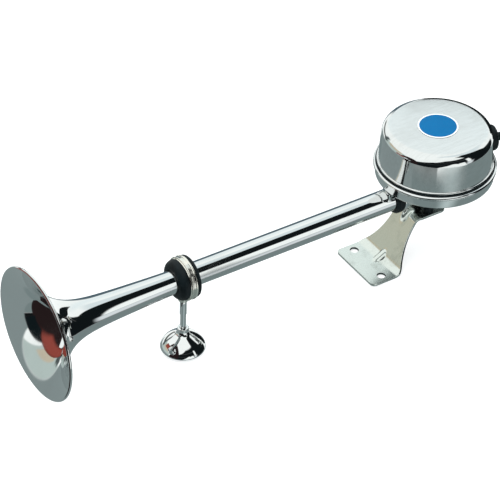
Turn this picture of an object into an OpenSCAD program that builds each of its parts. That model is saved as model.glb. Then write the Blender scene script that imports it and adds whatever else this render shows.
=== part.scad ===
// Electric trumpet horn for a deck. Millimetres, +Z up, the trumpet runs along X and opens towards -X.
// The origin lies on the deck, midway between the two screw holes of the rear bracket.

/* [Layout] */
// Height of the trumpet's axis above the deck
axis_h = 57.5; // [55:0.5:64]
// Distance from the bracket's screw holes back to the middle of the drum
drum_x = 58.6; // [54:0.2:64]
// Distance from the bracket's screw holes forward to the mouth of the bell
bell_reach = 294.6; // [260:0.2:320]
// Distance from the bracket's screw holes forward to the stud of the front support
support_reach = 169.2; // [150:0.2:170]

/* [Trumpet] */
// Outer diameter of the tube
tube_d = 18.4; // [17:0.2:19.6]
// Sheet thickness of the tube and the bell
tube_wall = 0.9; // [0.7:0.1:1.2]
// Outer diameter of the bell over its rolled rim
bell_d = 104; // [90:1:116]
// Length of the flare from the straight tube to the mouth
flare_len = 113.6; // [90:0.2:116]
// Gain in radius of the slow part of the flare
flare_ease = 5.7; // [4:0.1:8]
// Diameter of the wire-like roll at the bell's rim
rim_bead_d = 2.4; // [2:0.2:3.6]

/* [Sound chamber] */
// Diameter of the casting over its flange bead
flange_d = 96; // [94:0.5:104]
// Height of the bead round the casting's flange
flange_bead_h = 3.2; // [2.4:0.2:4]
// Diameter of the skirt at its lower edge
skirt_d = 92; // [90:0.5:94]
// Height of the casting from the skirt's lower edge to the flange
casting_h = 11.4; // [10.6:0.2:14]
// Wall thickness of the skirt
skirt_wall = 3; // [2.4:0.2:3.6]
// Thickness of the chamber's floor
floor_t = 3; // [2.6:0.1:3.4]
// Depth of the sound chamber under the diaphragm
chamber_depth = 3; // [2.8:0.1:3.4]
// Diameter of the throat from the chamber into the elbow
throat_d = 9; // [7:0.5:9]
// Radius of the elbow's bend, measured at its axis
elbow_bend_r = 13; // [12.4:0.1:13.4]
// Outer diameter of the elbow
elbow_d = 22; // [21.6:0.2:23]
// Depth of the socket that takes the end of the tube
socket_depth = 12.6; // [9:0.2:13]
// Number of screws round the flange
flange_screws_n = 8; // [6:1:8]

/* [Cover] */
// Outer diameter of the cover's wall at its lip
cover_d = 88.8; // [88.4:0.2:90]
// Loss of the wall's radius from the lip to the shoulder
cover_taper = 1.2; // [0.4:0.1:1.6]
// Height of the cover from its lip to its top
cover_h = 32.4; // [32.2:0.2:38]
// Sheet thickness of the cover
cover_wall = 1.2; // [0.8:0.1:1.2]
// Radius of the cover's shoulder
shoulder_r = 8; // [5:0.5:9]
// Fall of the cover's top from its flat middle to the shoulder
crown_h = 0.3; // [0.2:0.1:1.4]
// Thickness of the rubber ring between the casting and the cover
cover_seal_t = 0.8; // [0.8:0.1:2]
// Diameter of the round disc on top of the cover
disc_d = 31.4; // [24:0.2:34]
// Diameter of the cable boot's flange
boot_d = 20.6; // [18:0.2:21.4]
// Direction of the cable boot seen from above, from +X
boot_turn = -15; // [-30:1:0]

/* [Power unit] */
// Outer diameter of the diaphragm and its gaskets
diaphragm_d = 82.8; // [82.4:0.1:83]
// Height of the pressed steel frame that holds the coil
frame_h = 21.5; // [21.3:0.1:22]
// Outer diameter of the frame's bowl
frame_d = 70; // [69:0.2:70]
// Diameter of the armature
armature_d = 21; // [19:0.5:23]
// Gap between the armature and the core
air_gap = 1.2; // [1.1:0.1:1.4]
// Outer diameter of the coil bobbin
bobbin_d = 40; // [36:0.5:41]

/* [Rear bracket] */
// Thickness of the bracket's sheet
sheet_t = 2; // [1.6:0.1:2.4]
// Width of the bracket's foot
foot_w = 51; // [48:0.5:54]
// Distance from the screw holes to the front edge of the foot
foot_front = 12.7; // [10:0.1:15]
// Distance from the screw holes to the start of the lower bend
foot_back = 7.4; // [6:0.1:9]
// Spacing of the two screw holes
hole_span = 37; // [34:0.5:38]
// Diameter of the screw holes
hole_d = 6.5; // [4:0.1:7]
// Lean of the upright from the vertical
lean = 31.6; // [29:0.1:34]
// Width of the tongue that carries the drum
tongue_w = 26.6; // [25:0.2:28]
// Width of the upright at its waist
waist = 25.4; // [24:0.2:26]
// Length of the rubber mounts between the tongue and the casting
mount_h = 7; // [6:0.1:8]

/* [Front support] */
// Depth of the front foot's base below the rear bracket's, as its stud is set
foot_drop = 9.1; // [0:0.1:9.4]
// Diameter of the front foot
rosette_d = 34.4; // [30:0.2:40]
// Height of the front foot
rosette_h = 19; // [18:0.1:23]
// Diameter of the front foot's collar
neck_d = 9; // [8:0.1:11]
// Diameter of the stud
stud_d = 4.8; // [4:0.1:5.2]
// Outer diameter of the support's metal ring
ring_d = 35; // [34:0.2:37]
// Width of the support's metal ring
ring_w = 6.3; // [6:0.1:7]
// Diameter of the grommet's thin flange, on the drum's side of the ring
grommet_d = 33.4; // [32.6:0.2:34.4]
// Diameter of the grommet's thick flange, on the bell's side of the ring
grommet_front_d = 32.4; // [31:0.2:34]

/* [Hidden] */
$fn = 96;
// Clearances: a fit, a running fit, and a small gap between parts that don't touch
fit = 0.02;
run = 0.05;
gap = 0.3;
tube_r = tube_d / 2;
bell_r = bell_d / 2;
flare_steps = 24;
flare_x = flare_len - bell_reach;
lip_r = bell_r - rim_bead_d / 2;
// Heights of the casting, from the tube upwards
skirt_z = axis_h + tube_r + 0.4;
flange_z = skirt_z + casting_h;
floor_z = flange_z - chamber_depth;
skirt_r = skirt_d / 2;
flange_r = flange_d / 2;
edge_r = 2;
seat_r = diaphragm_d / 2 - 6;
screw_ring_r = diaphragm_d / 2 - 3.1;
flange_screw_r = 1.75;
screw_bite = 4.5;
screw_hole_l = 5;
screw_head_r = 2.9;
screw_head_h = 2.2;
ribs_n = 8;
rib_t = 2.4;
rib_h = 3;
socket_collar_r = elbow_d / 2 + 1.2;
socket_collar_w = 2.4;
tube_end = elbow_bend_r + 9;
socket_end = tube_end + socket_depth;
seal_w = 6.4;
pad_x = -9;
pad_l = 18;
pad_w = 27;
bolt_y = 7;
bolt_head_r = 4.2;
bolt_head_h = 2.2;
socket_w = 3.4;
washer_h = 0.6;
bolt_grip = 7;
bolt_r = 2.5;
bush_r = 4.6;
// Heights of the bracket's tongue, from the elbow downwards
pad_z = axis_h - elbow_d / 2 - 0.7;
tongue_z = pad_z - mount_h;
bend_in_r = 9;
bend_top_r = 4;
waist_cut_r = 45;
tongue_end = drum_x + 5;
tongue_corner_r = 5;
foot_corner_r = 4;
dart_r = 4.8;
dart_leg = 7.2;
// Path of the bracket's sheet at half its thickness
lean_dir = [sin(lean), cos(lean)];
bend_r = bend_in_r + sheet_t / 2;
top_r = bend_top_r + sheet_t / 2;
low_end = [foot_back + bend_r * cos(lean), sheet_t / 2 + bend_r * (1 - sin(lean))];
tongue_mid = tongue_z - sheet_t / 2;
upright_l = (tongue_mid - top_r * (1 - sin(lean)) - low_end[1]) / cos(lean);
top_start = low_end + upright_l * lean_dir;
top_centre = [top_start[0] + top_r * cos(lean), tongue_mid - top_r];
front_edge = low_end + sheet_t / 2 * [-cos(lean), sin(lean)];
corner_low = front_edge + (sheet_t - front_edge[1]) / cos(lean) * lean_dir;
corner_top = front_edge + (tongue_z - front_edge[1]) / cos(lean) * lean_dir;
// Heights of the power unit, from the flange upwards
gasket_t = 0.5;
diaphragm_t = 0.4;
unit_r = diaphragm_d / 2;
diaphragm_z = flange_z + gasket_t;
frame_z = diaphragm_z + diaphragm_t + gasket_t;
frame_t = 1.5;
frame_top = frame_z + frame_h;
frame_r = frame_d / 2;
stud_head_h = 1.8;
armature_stud_r = 3;
stud_head_w = 10;
washer_t = 1.2;
washer_r = 8;
striker_t = 0.8;
striker_r = 26;
armature_z = diaphragm_z + diaphragm_t + washer_t + striker_t;
armature_h = 6.6;
core_z = armature_z + armature_h + air_gap;
core_r = 8.5;
core_shank_r = 4;
core_thread_l = 5.6;
core_nut_w = 13;
core_nut_h = 4.2;
flange_t = 1.2;
bobbin_wall = 1.3;
bobbin_top = frame_top - frame_t - 0.2;
winding_r = bobbin_d / 2 - 1;
// Places of the contact breaker, from the drum's middle
striker_top = armature_z;
bar_z = striker_top + 2.1;
bar_t = 1;
contact_h = 0.7;
arm_z = bar_z + bar_t + 2 * contact_h;
arm_t = 1;
pivot_x = -6;
pivot_z = arm_z + arm_t - 0.2;
pivot_r = 1;
contact_x = 3;
push_x = 9.5;
adjust_x = 14;
breaker_y = 25.5;
contact_y = breaker_y + 1.9;
block_x = -16;
block_w = 7;
ear_t = 1;
contact_r = 1.3;
button_gap = 0.3;
button_r = 1.4;
adjust_r = 2;
locknut_h = 2.3;
// Places of the terminals, the leads and the suppressor on the frame's top
terminal_x = 8;
terminal_y = -25;
terminal_r = 1.5;
board_t = 2;
lead_y = -16;
lead_r = 0.6;
can_x = -20;
can_r = 3.5;
strap_t = 0.8;
// Heights and radii of the cover
cover_r = cover_d / 2;
cover_z = flange_z + cover_seal_t;
cover_top = cover_z + cover_h;
shoulder_x = cover_r - cover_taper - shoulder_r;
shoulder_z = cover_top - crown_h - shoulder_r;
crown_r = shoulder_x - 1.2;
draft = atan(cover_taper / (shoulder_z - cover_z));
lip_bead_r = 1;
disc_t = 0.4;
land_r = disc_d / 2 + 0.4;
boot_z = cover_z + 2 * lip_bead_r + gap + boot_d / 2;
boot_wall_r = cover_r - (boot_z - cover_z) * tan(draft);
boot_neck_r = 6;
boot_out = 5;
nozzle_r = 3.3;
nozzle_l = 8;
cable_r = 2.3;
// Places of the front support
support_x = -support_reach;
ring_back = support_x + ring_w / 2;
ring_r = ring_d / 2;
groove_r = ring_r - 3.7;
grommet_r = grommet_d / 2;
grommet_front_r = grommet_front_d / 2;
grommet_front = 6.8;
grommet_round = 6.2;
grommet_back = 3;
side_run = 0.1;
boss_r = 4;
boss_l = 3.5;
thread_l = 5;
relief_h = 1.5;
relief_depth = 0.8;
hollow_r = 6;
hollow_h = 2;
foot_edge = 2.6;
stud_rise = 12;
stud_low = stud_rise - foot_drop;
rosette_r = rosette_d / 2;
rim_r = 4.4;
rim_lift = 1;

// Points along an arc from angle a0 to a1
function arc(c, r, a0, a1, n = 8) =
    [for (i = [0:n]) let (a = a0 + (a1 - a0) * i / n) [c[0] + r * cos(a), c[1] + r * sin(a)]];

// Outer radius of the flare at the distance s from the straight tube, and its slope there
function flare_r(s) =
    tube_r + flare_ease * pow(s / flare_len, 1.2)
    + (lip_r - tube_r - flare_ease) * pow(s / flare_len, 8);
function flare_slope(s) =
    1.2 * flare_ease / flare_len * pow(s / flare_len, 0.2)
    + 8 * (lip_r - tube_r - flare_ease) / flare_len * pow(s / flare_len, 7);
function flare_s(i) = flare_len * (1 - pow(1 - i / flare_steps, 1.8));
function flare_out(s) = [flare_r(s), s];
function flare_in(s) = let (k = flare_slope(s), n = sqrt(1 + k * k))
    [flare_r(s) - tube_wall / n, s + tube_wall * k / n];

// Turns a profile of radius and length about the trumpet's axis, with its length towards -X
module along_trumpet(x) {
    translate([x, 0, axis_h]) rotate([0, -90, 0]) rotate_extrude() children();
}

module at_drum(z = 0) {
    translate([drum_x, 0, z]) children();
}

// Copies a child round the drum's axis
module around(n, first = 0) {
    for (i = [0:n - 1]) rotate([0, 0, first + i * 360 / n]) children();
}

// A flat plate with round corners, of exact arcs
module round_plate(x0, x1, w, r, t) {
    linear_extrude(t) union() {
        translate([x0 + r, -w / 2]) square([x1 - x0 - 2 * r, w]);
        translate([x0, -w / 2 + r]) square([x1 - x0, w - 2 * r]);
        for (x = [x0 + r, x1 - r], y = [-w / 2 + r, w / 2 - r]) translate([x, y]) circle(r);
    }
}

module hex_nut(across, h, bore_r) {
    difference() {
        cylinder(h = h, d = across / cos(30), $fn = 6);
        translate([0, 0, -1]) cylinder(h = h + 2, r = bore_r);
    }
}

// Round screw with a slotted head that sits on z = 0
module slotted_screw(shank_r, shank_l, head_r, head_h) {
    difference() {
        union() {
            translate([0, 0, -shank_l]) cylinder(h = shank_l + 0.1, r = shank_r);
            cylinder(h = head_h, r = head_r);
        }
        translate([-head_r - 1, -0.45, head_h / 2]) cube([2 * head_r + 2, 0.9, head_h]);
    }
}

module ring(r_in, r_out, h) {
    difference() {
        cylinder(h = h, r = r_out);
        translate([0, 0, -1]) cylinder(h = h + 2, r = r_in);
    }
}

module trumpet() {
    tail = drum_x - tube_end - flare_x;
    lip = flare_in(flare_len);
    color("gainsboro") along_trumpet(flare_x) union() {
        polygon(concat(
            [[tube_r, -tail]],
            [for (i = [0:flare_steps]) flare_out(flare_s(i))],
            [for (i = [flare_steps:-1:0]) flare_in(flare_s(i))],
            [[tube_r - tube_wall, -tail]]
        ));
        translate([lip_r, lip[1] - rim_bead_d / 2]) circle(d = rim_bead_d, $fn = 48);
    }
}

module tube_seal() {
    color("black") along_trumpet(drum_x - socket_end) difference() {
        union() {
            translate([tube_r + fit, 0]) square([socket_collar_r - tube_r - 1.2, seal_w]);
            translate([tube_r + 1, 1.2]) square([socket_collar_r - tube_r - 1, seal_w - 2.4]);
            translate([socket_collar_r - 1.2, 1.2]) circle(1.2, $fn = 32);
            translate([socket_collar_r - 1.2, seal_w - 1.2]) circle(1.2, $fn = 32);
        }
        translate([tube_r - 5, -1]) square([5 + fit, seal_w + 2]);
    }
}

// Outline of the dish: floor, seat of the diaphragm, beaded flange and tapering skirt
module casting_section() {
    low = floor_z - floor_t;
    bead = flange_bead_h / 2;
    polygon(concat(
        [[0, low], [skirt_r - skirt_wall, low], [skirt_r - skirt_wall, skirt_z]],
        arc([skirt_r - edge_r, skirt_z + edge_r], edge_r, -90, 0),
        [[flange_r - 0.8, flange_z - flange_bead_h + 0.2]],
        [[flange_r - bead, flange_z], [seat_r, flange_z], [seat_r, floor_z], [0, floor_z]]
    ));
    translate([flange_r - bead, flange_z - bead]) circle(bead, $fn = 48);
}

// The way through the elbow, or its outside, of the given radius
module elbow_run(r) {
    bend_top = axis_h + elbow_bend_r;
    translate([0, 0, bend_top]) cylinder(h = floor_z - floor_t / 2 - bend_top, r = r);
    translate([-elbow_bend_r, 0, bend_top])
        rotate([90, 0, 0]) rotate([0, 0, -90])
            rotate_extrude(angle = 90) translate([elbow_bend_r, 0]) circle(r);
}

module socket_run(x0, x1, r0, r1) {
    translate([-x0, 0, axis_h]) rotate([0, -90, 0]) cylinder(h = x1 - x0, r1 = r0, r2 = r1);
}

module chamber_casting() {
    color("lightsteelblue") at_drum() difference() {
        union() {
            rotate_extrude() casting_section();
            elbow_run(elbow_d / 2);
            socket_run(elbow_bend_r, socket_end - socket_collar_w + 0.2, elbow_d / 2, elbow_d / 2);
            socket_run(socket_end - socket_collar_w, socket_end, socket_collar_r, socket_collar_r);
            translate([pad_x, 0, pad_z])
                round_plate(-pad_l / 2, pad_l / 2, pad_w, 4, axis_h - pad_z);
            around(ribs_n, 180 / ribs_n) translate([elbow_d / 2 - 1, -rib_t / 2, floor_z - floor_t - rib_h])
                cube([skirt_r - skirt_wall / 2 - elbow_d / 2, rib_t, rib_h + 1]);
        }
        elbow_run(throat_d / 2);
        translate([0, 0, floor_z - floor_t]) cylinder(h = floor_t + 1, d = throat_d);
        socket_run(elbow_bend_r, tube_end, throat_d / 2, tube_r - tube_wall);
        socket_run(tube_end, socket_end + 1, tube_r + fit, tube_r + fit);
        translate([0, 0, flange_z - screw_hole_l]) flange_holes(screw_hole_l + 1);
        for (y = [-bolt_y, bolt_y])
            translate([pad_x, y, pad_z - 1]) cylinder(h = bolt_grip + 2, r = bolt_r + fit, $fn = 32);
    }
}

// Holes of the flange's screws, of the height h
module flange_holes(h) {
    around(flange_screws_n, 180 / flange_screws_n)
        translate([screw_ring_r, 0, 0]) cylinder(h = h, r = flange_screw_r + fit, $fn = 32);
}

// Flat ring of the diaphragm's stack, with its screw holes
module stack_ring(r_in, z, t) {
    at_drum(z) difference() {
        ring(r_in, unit_r, t);
        translate([0, 0, -1]) flange_holes(t + 2);
    }
}

module lower_gasket() {
    color("saddlebrown") stack_ring(seat_r, flange_z, gasket_t);
}

module upper_gasket() {
    color("saddlebrown") stack_ring(seat_r, diaphragm_z + diaphragm_t, gasket_t);
}

// Height of the pressed wave in the diaphragm at the radius r
function wave(r) = let (u = (r - striker_r - 1) / (seat_r - striker_r - 3)) u <= 0 || u >= 1 ? 0
    : 0.45 * (1 - cos(360 * u)) / 2;

module diaphragm() {
    radii = [for (i = [0:24]) armature_stud_r + fit + (unit_r - armature_stud_r - fit) * i / 24];
    color("silver") difference() {
        at_drum(diaphragm_z) rotate_extrude() polygon(concat(
            [for (r = radii) [r, -wave(r)]],
            [for (i = [24:-1:0]) [radii[i], diaphragm_t - wave(radii[i])]]
        ));
        at_drum(diaphragm_z - 2) flange_holes(4);
    }
}

// Pressed bowl, open downwards: its flange is clamped, its top carries the core
module motor_frame() {
    color("darkgoldenrod") at_drum() difference() {
        union() {
            translate([0, 0, frame_z]) cylinder(h = frame_t, r = unit_r);
            translate([0, 0, frame_z]) cylinder(h = frame_h, r = frame_r);
        }
        translate([0, 0, frame_z - 1]) cylinder(h = frame_h - frame_t + 1, r = frame_r - frame_t);
        translate([0, 0, frame_top - 3]) cylinder(h = 4, r = core_shank_r + fit, $fn = 48);
        translate([adjust_x, breaker_y, frame_top - 3]) cylinder(h = 4, r = adjust_r + run, $fn = 32);
        for (x = [-terminal_x, terminal_x]) {
            translate([x, lead_y, frame_top - 3]) cylinder(h = 4, r = lead_r + 1.4, $fn = 32);
            translate([x, terminal_y, frame_top - 3]) cylinder(h = 4, r = terminal_r + fit, $fn = 32);
        }
        translate([0, 0, frame_z - 1]) flange_holes(frame_t + 2);
    }
}

module flange_screws() {
    shank_l = frame_z + frame_t - flange_z + screw_bite;
    color("silver") at_drum(frame_z + frame_t) around(flange_screws_n, 180 / flange_screws_n)
        translate([screw_ring_r, 0, 0])
            slotted_screw(flange_screw_r, shank_l, screw_head_r, screw_head_h, $fn = 32);
}

module core() {
    color("dimgray") at_drum() union() {
        translate([0, 0, core_z]) cylinder(h = frame_top - frame_t - core_z, r = core_r);
        translate([0, 0, core_z])
            cylinder(h = frame_top + core_thread_l - core_z, r = core_shank_r, $fn = 48);
    }
}

module core_nut() {
    color("goldenrod") at_drum(frame_top) hex_nut(core_nut_w, core_nut_h, core_shank_r + fit);
}

module coil_bobbin() {
    low = core_z + gap;
    bore_r = core_r + fit;
    color("ivory") at_drum(low) rotate_extrude() union() {
        translate([bore_r, 0]) square([bobbin_wall, bobbin_top - low]);
        translate([bore_r, 0]) square([bobbin_d / 2 - bore_r, flange_t]);
        translate([bore_r, bobbin_top - low - flange_t]) square([bobbin_d / 2 - bore_r, flange_t]);
    }
}

module coil_winding() {
    low = core_z + gap + flange_t;
    color("firebrick") at_drum(low)
        ring(core_r + bobbin_wall + 2 * fit, winding_r, bobbin_top - flange_t - low);
}

module armature() {
    color("dimgray") at_drum(armature_z) difference() {
        cylinder(h = armature_h, d = armature_d);
        translate([0, 0, -1]) cylinder(h = armature_h, r = armature_stud_r + fit, $fn = 48);
    }
}

module armature_stud() {
    shank_l = armature_z + armature_h - 1.2 - diaphragm_z;
    color("silver") at_drum(diaphragm_z) union() {
        translate([0, 0, -stud_head_h]) cylinder(h = stud_head_h, d = stud_head_w / cos(30), $fn = 6);
        translate([0, 0, -0.2]) cylinder(h = shank_l, r = armature_stud_r, $fn = 48);
    }
}

module clamp_washer() {
    color("silver") at_drum(diaphragm_z + diaphragm_t) ring(armature_stud_r + fit, washer_r, washer_t);
}

module striker_disc() {
    color("slategray") at_drum(armature_z - striker_t) ring(armature_stud_r + fit, striker_r, striker_t);
}

// Insulating block under the frame's top, with two ears for the arm's pin
module breaker_block() {
    top = frame_top - frame_t;
    low = bar_z + bar_t;
    side = breaker_y - block_w / 2;
    ear_x = block_x + block_w - 1;
    color("sienna") at_drum() difference() {
        union() {
            translate([block_x, side, low]) cube([block_w, block_w, top - low]);
            for (y = [side, side + block_w - ear_t])
                translate([ear_x, y, low + 0.6]) cube([pivot_x + 2.6 - ear_x, ear_t, pivot_z - low + 2]);
        }
        translate([pivot_x, breaker_y + 5, pivot_z]) rotate([90, 0, 0])
            cylinder(h = 10, r = pivot_r + fit, $fn = 32);
    }
}

module breaker_pin() {
    color("silver") at_drum() translate([pivot_x, breaker_y + block_w / 2, pivot_z])
        rotate([90, 0, 0]) cylinder(h = block_w, r = pivot_r, $fn = 32);
}

module fixed_contact_bar() {
    clear_y = breaker_y + 0.4;
    color("peru") at_drum() union() {
        translate([block_x, clear_y, bar_z])
            cube([adjust_x + adjust_r - block_x, breaker_y + block_w / 2 - clear_y, bar_t]);
        translate([contact_x, contact_y, bar_z + bar_t - 0.1])
            cylinder(h = contact_h + 0.1, r = contact_r, $fn = 32);
    }
}

// Lever of the contact breaker: hub, plate, contact and the button that the striker lifts
module breaker_arm() {
    hub_w = block_w - 2 * ear_t - 0.4;
    color("peru") at_drum() difference() {
        union() {
            translate([pivot_x, breaker_y + hub_w / 2, pivot_z]) rotate([90, 0, 0])
                cylinder(h = hub_w, r = 2 * pivot_r, $fn = 32);
            translate([pivot_x, breaker_y - hub_w / 2, arm_z]) cube([6, hub_w, arm_t]);
            translate([pivot_x + 3.6, breaker_y - 3, arm_z]) cube([push_x + 2 - pivot_x - 3.6, 6, arm_t]);
            translate([contact_x, contact_y, arm_z - contact_h])
                cylinder(h = contact_h + 0.1, r = contact_r, $fn = 32);
            translate([push_x, breaker_y - 1.4, striker_top + button_gap])
                cylinder(h = arm_z - striker_top, r = button_r, $fn = 32);
        }
        translate([pivot_x, breaker_y + 5, pivot_z]) rotate([90, 0, 0])
            cylinder(h = 10, r = pivot_r + run, $fn = 32);
    }
}

module adjusting_screw() {
    tip = bar_z + bar_t + run;
    seat = frame_top + locknut_h + 0.1;
    color("silver") at_drum(seat) translate([adjust_x, breaker_y, 0])
        slotted_screw(adjust_r, seat - tip, 3.2, 2, $fn = 32);
}

module adjusting_locknut() {
    color("goldenrod") at_drum(frame_top) translate([adjust_x, breaker_y, 0])
        hex_nut(7, locknut_h, adjust_r + run);
}

module terminal_board() {
    color("sienna") at_drum(frame_top) difference() {
        translate([0, terminal_y, 0]) round_plate(-terminal_x - 5, terminal_x + 5, 9, 2, board_t);
        for (x = [-terminal_x, terminal_x])
            translate([x, terminal_y, -1]) cylinder(h = board_t + 2, r = terminal_r + fit, $fn = 32);
    }
}

module terminal_screws() {
    color("goldenrod") at_drum(frame_top + board_t) for (x = [-terminal_x, terminal_x])
        translate([x, terminal_y, 1]) union() {
            slotted_screw(terminal_r, 5, 2.8, 1.8, $fn = 32);
            translate([0, 0, -1]) ring(terminal_r - 0.1, 3.4, 1);
        }
}

// Enamelled wires from the coil through the frame's top to the terminals
module coil_leads() {
    rise = frame_top + board_t + lead_r;
    color("firebrick") at_drum() for (x = [-terminal_x, terminal_x]) union() {
        translate([x, lead_y, bobbin_top]) cylinder(h = rise - bobbin_top, r = lead_r, $fn = 16);
        translate([x, lead_y, rise]) sphere(lead_r, $fn = 16);
        translate([x, lead_y, rise]) rotate([90, 0, 0])
            cylinder(h = lead_y - terminal_y - 3.5, r = lead_r, $fn = 16);
    }
}

module suppressor() {
    color("tan") at_drum(frame_top + can_r) translate([can_x, 0, 0]) rotate([90, 0, 0]) union() {
        translate([0, 0, -10]) cylinder(h = 20, r = can_r, $fn = 48);
        translate([0, 0, -14]) cylinder(h = 28, r = 0.5, $fn = 16);
    }
}

// Strap over the suppressor with one foot on the frame's top
module suppressor_clip() {
    out_r = can_r + strap_t;
    in_r = can_r + fit;
    color("silver") at_drum(frame_top) translate([can_x, 0, 0]) difference() {
        union() {
            translate([0, 3, can_r]) rotate([90, 0, 0]) cylinder(h = 6, r = out_r, $fn = 48);
            translate([-out_r, -3, 0]) cube([2 * out_r, 6, can_r]);
            translate([0, -3, 0]) cube([out_r + 6.7, 6, strap_t]);
        }
        translate([0, 4, can_r]) rotate([90, 0, 0]) cylinder(h = 8, r = in_r, $fn = 48);
        translate([-in_r, -4, -1]) cube([2 * in_r, 8, can_r + 1]);
    }
}

// Outline of the cover: outer skin when inset is 0, the inner skin when it is the wall
function cover_skin(inset) = concat(
    [[cover_r - inset, cover_z]],
    arc([shoulder_x, shoulder_z], shoulder_r - inset, draft, 88, 12),
    [for (i = [1:5]) let (r = land_r + (shoulder_x - land_r) * (1 - i / 5))
        [r, cover_top - inset - crown_h * pow((r - land_r) / (shoulder_x - land_r), 2)]]
);

// Section of the cover's sheet with the bead round its lip
module cover_section() {
    difference() {
        union() {
            polygon(concat(cover_skin(0), [[0, cover_top], [0, cover_z]]));
            translate([cover_r + 0.1, cover_z + lip_bead_r]) circle(lip_bead_r, $fn = 32);
        }
        polygon(concat([[cover_r - cover_wall, cover_z - 1]], cover_skin(cover_wall),
            [[0, cover_top - cover_wall], [0, cover_z - 1]]));
    }
}

// Wall and shoulder of the cover, up to the edge of its crown
module cover() {
    color("lightgray") at_drum() difference() {
        rotate_extrude() difference() {
            cover_section();
            translate([0, cover_z]) square([crown_r, cover_h + 1]);
        }
        rotate([0, 0, boot_turn]) translate([cover_r - 8, 0, boot_z]) rotate([0, 90, 0])
            cylinder(h = 16, r = boot_neck_r + fit, $fn = 48);
    }
}

module cover_crown() {
    color("lightgray") at_drum() rotate_extrude() intersection() {
        cover_section();
        translate([0, cover_z]) square([crown_r, cover_h + 1]);
    }
}

module cover_seal() {
    color("black") at_drum(flange_z) ring(cover_r - cover_wall + 0.2, cover_r + 2, cover_seal_t);
}

module cover_disc() {
    color("dodgerblue") at_drum(cover_top) cylinder(h = disc_t, d = disc_d);
}

// Outline of the boot, with radius and distance from the drum's axis
module boot_section() {
    face = boot_wall_r + boot_out;
    br = boot_d / 2;
    inner = boot_wall_r - 5;
    polygon(concat(
        [[cable_r, inner], [boot_neck_r + 1.5, inner], [boot_neck_r + 1.5, inner + 2.6]],
        [[boot_neck_r, inner + 2.6], [boot_neck_r, boot_wall_r - 2.5], [br, boot_wall_r - 2.5]],
        arc([br - 3, face - 3], 3, 0, 90),
        arc([nozzle_r + 1.5, face + 1.5], 1.5, -90, -180, 5),
        [[nozzle_r, face + nozzle_l], [cable_r, face + nozzle_l]]
    ));
}

// Solid cone along the cover's drafted wall, off by d, over the height of the boot
module wall_cone(d) {
    side = boot_d * tan(draft);
    translate([0, 0, boot_z - boot_d])
        cylinder(h = 2 * boot_d, r1 = boot_wall_r + side + d, r2 = boot_wall_r - side + d);
}

module cable_boot() {
    color("black") at_drum() rotate([0, 0, boot_turn]) difference() {
        translate([0, 0, boot_z]) rotate([0, 90, 0]) rotate_extrude() boot_section();
        difference() {
            wall_cone(fit);
            translate([0, 0, boot_z]) rotate([0, 90, 0]) cylinder(h = 60, r = boot_neck_r, $fn = 48);
            wall_cone(-cover_wall - 0.3);
        }
    }
}

// Side view of the bracket's sheet
module bracket_profile() {
    h = sheet_t / 2;
    polygon(concat(
        [[-foot_front, 0]],
        arc([foot_back, h + bend_r], bend_r + h, -90, -lean),
        arc(top_centre, top_r - h, 180 - lean, 90),
        [[tongue_end, tongue_z - sheet_t], [tongue_end, tongue_z]],
        arc(top_centre, top_r + h, 90, 180 - lean),
        arc([foot_back, h + bend_r], bend_r - h, -lean, -90),
        [[-foot_front, sheet_t]]
    ));
}

// Front view of the upright: its sides curve in from the foot to the tongue
module upright_outline() {
    difference() {
        translate([-foot_w / 2, -1]) square([foot_w, tongue_z + 2]);
        for (s = [-1, 1])
            translate([s * (waist / 2 + waist_cut_r), tongue_z - 5]) circle(waist_cut_r, $fn = 180);
    }
}

// A round bar with its side along the line from a to b, on the right of it, or on the left when r < 0
module dart(a, b, r, grow = 0) {
    dir = (b - a) / norm(b - a);
    foot = a - 10 * dir - r * [-dir[1], dir[0]];
    translate([foot[0], 0, foot[1]]) rotate([0, atan2(dir[0], dir[1]), 0])
        cylinder(h = norm(b - a) + 20, r = abs(r) + grow);
}

// The space in front of the sheet's middle at the lower bend
module lower_front() {
    rotate([90, 0, 0]) translate([0, 0, -10]) linear_extrude(20) polygon(concat(
        arc([foot_back, sheet_t / 2 + bend_r], bend_r, -90, -lean),
        [low_end + 20 * lean_dir, [-foot_front, 40], [-foot_front, sheet_t / 2]]
    ));
}

// The space behind the sheet's middle at the upper bend
module upper_back() {
    rotate([90, 0, 0]) translate([0, 0, -10]) linear_extrude(20) polygon(concat(
        [top_start - 15 * lean_dir],
        arc(top_centre, top_r, 180 - lean, 90),
        [[tongue_end, tongue_mid], [tongue_end, tongue_mid - 15]]
    ));
}

module bracket() {
    low_a = corner_low - [dart_leg, 0];
    low_b = corner_low + dart_leg * lean_dir;
    top_a = corner_top - (dart_leg + 1.8) * lean_dir;
    top_b = corner_top + [dart_leg - 2.2, 0];
    color("darkkhaki") difference() {
        union() {
            intersection() {
                rotate([90, 0, 0]) translate([0, 0, -foot_w / 2]) linear_extrude(foot_w) bracket_profile();
                union() {
                    translate([0, 0, -1])
                        round_plate(-foot_front, foot_back + 8, foot_w, foot_corner_r, 2 + sheet_t);
                    translate([foot_back, 0, 0]) rotate([90, 0, 90]) linear_extrude(top_centre[0] - foot_back)
                        upright_outline();
                    translate([0, 0, tongue_z - 10])
                        round_plate(top_centre[0] - 10, tongue_end, tongue_w, tongue_corner_r, 12);
                }
            }
            intersection() {
                dart(low_a, low_b, dart_r);
                lower_front();
            }
            intersection() {
                dart(top_a, top_b, 1 - dart_r, sheet_t);
                upper_back();
            }
        }
        dart(low_a, low_b, dart_r, -sheet_t);
        dart(top_a, top_b, 1 - dart_r);
        for (s = [-1, 1]) translate([0, s * hole_span / 2, -1]) cylinder(h = sheet_t + 2, d = hole_d);
        for (s = [-1, 1]) translate([drum_x + pad_x, s * bolt_y, tongue_z - 5])
            cylinder(h = 8, r = bolt_r + 0.2, $fn = 32);
    }
}

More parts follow.
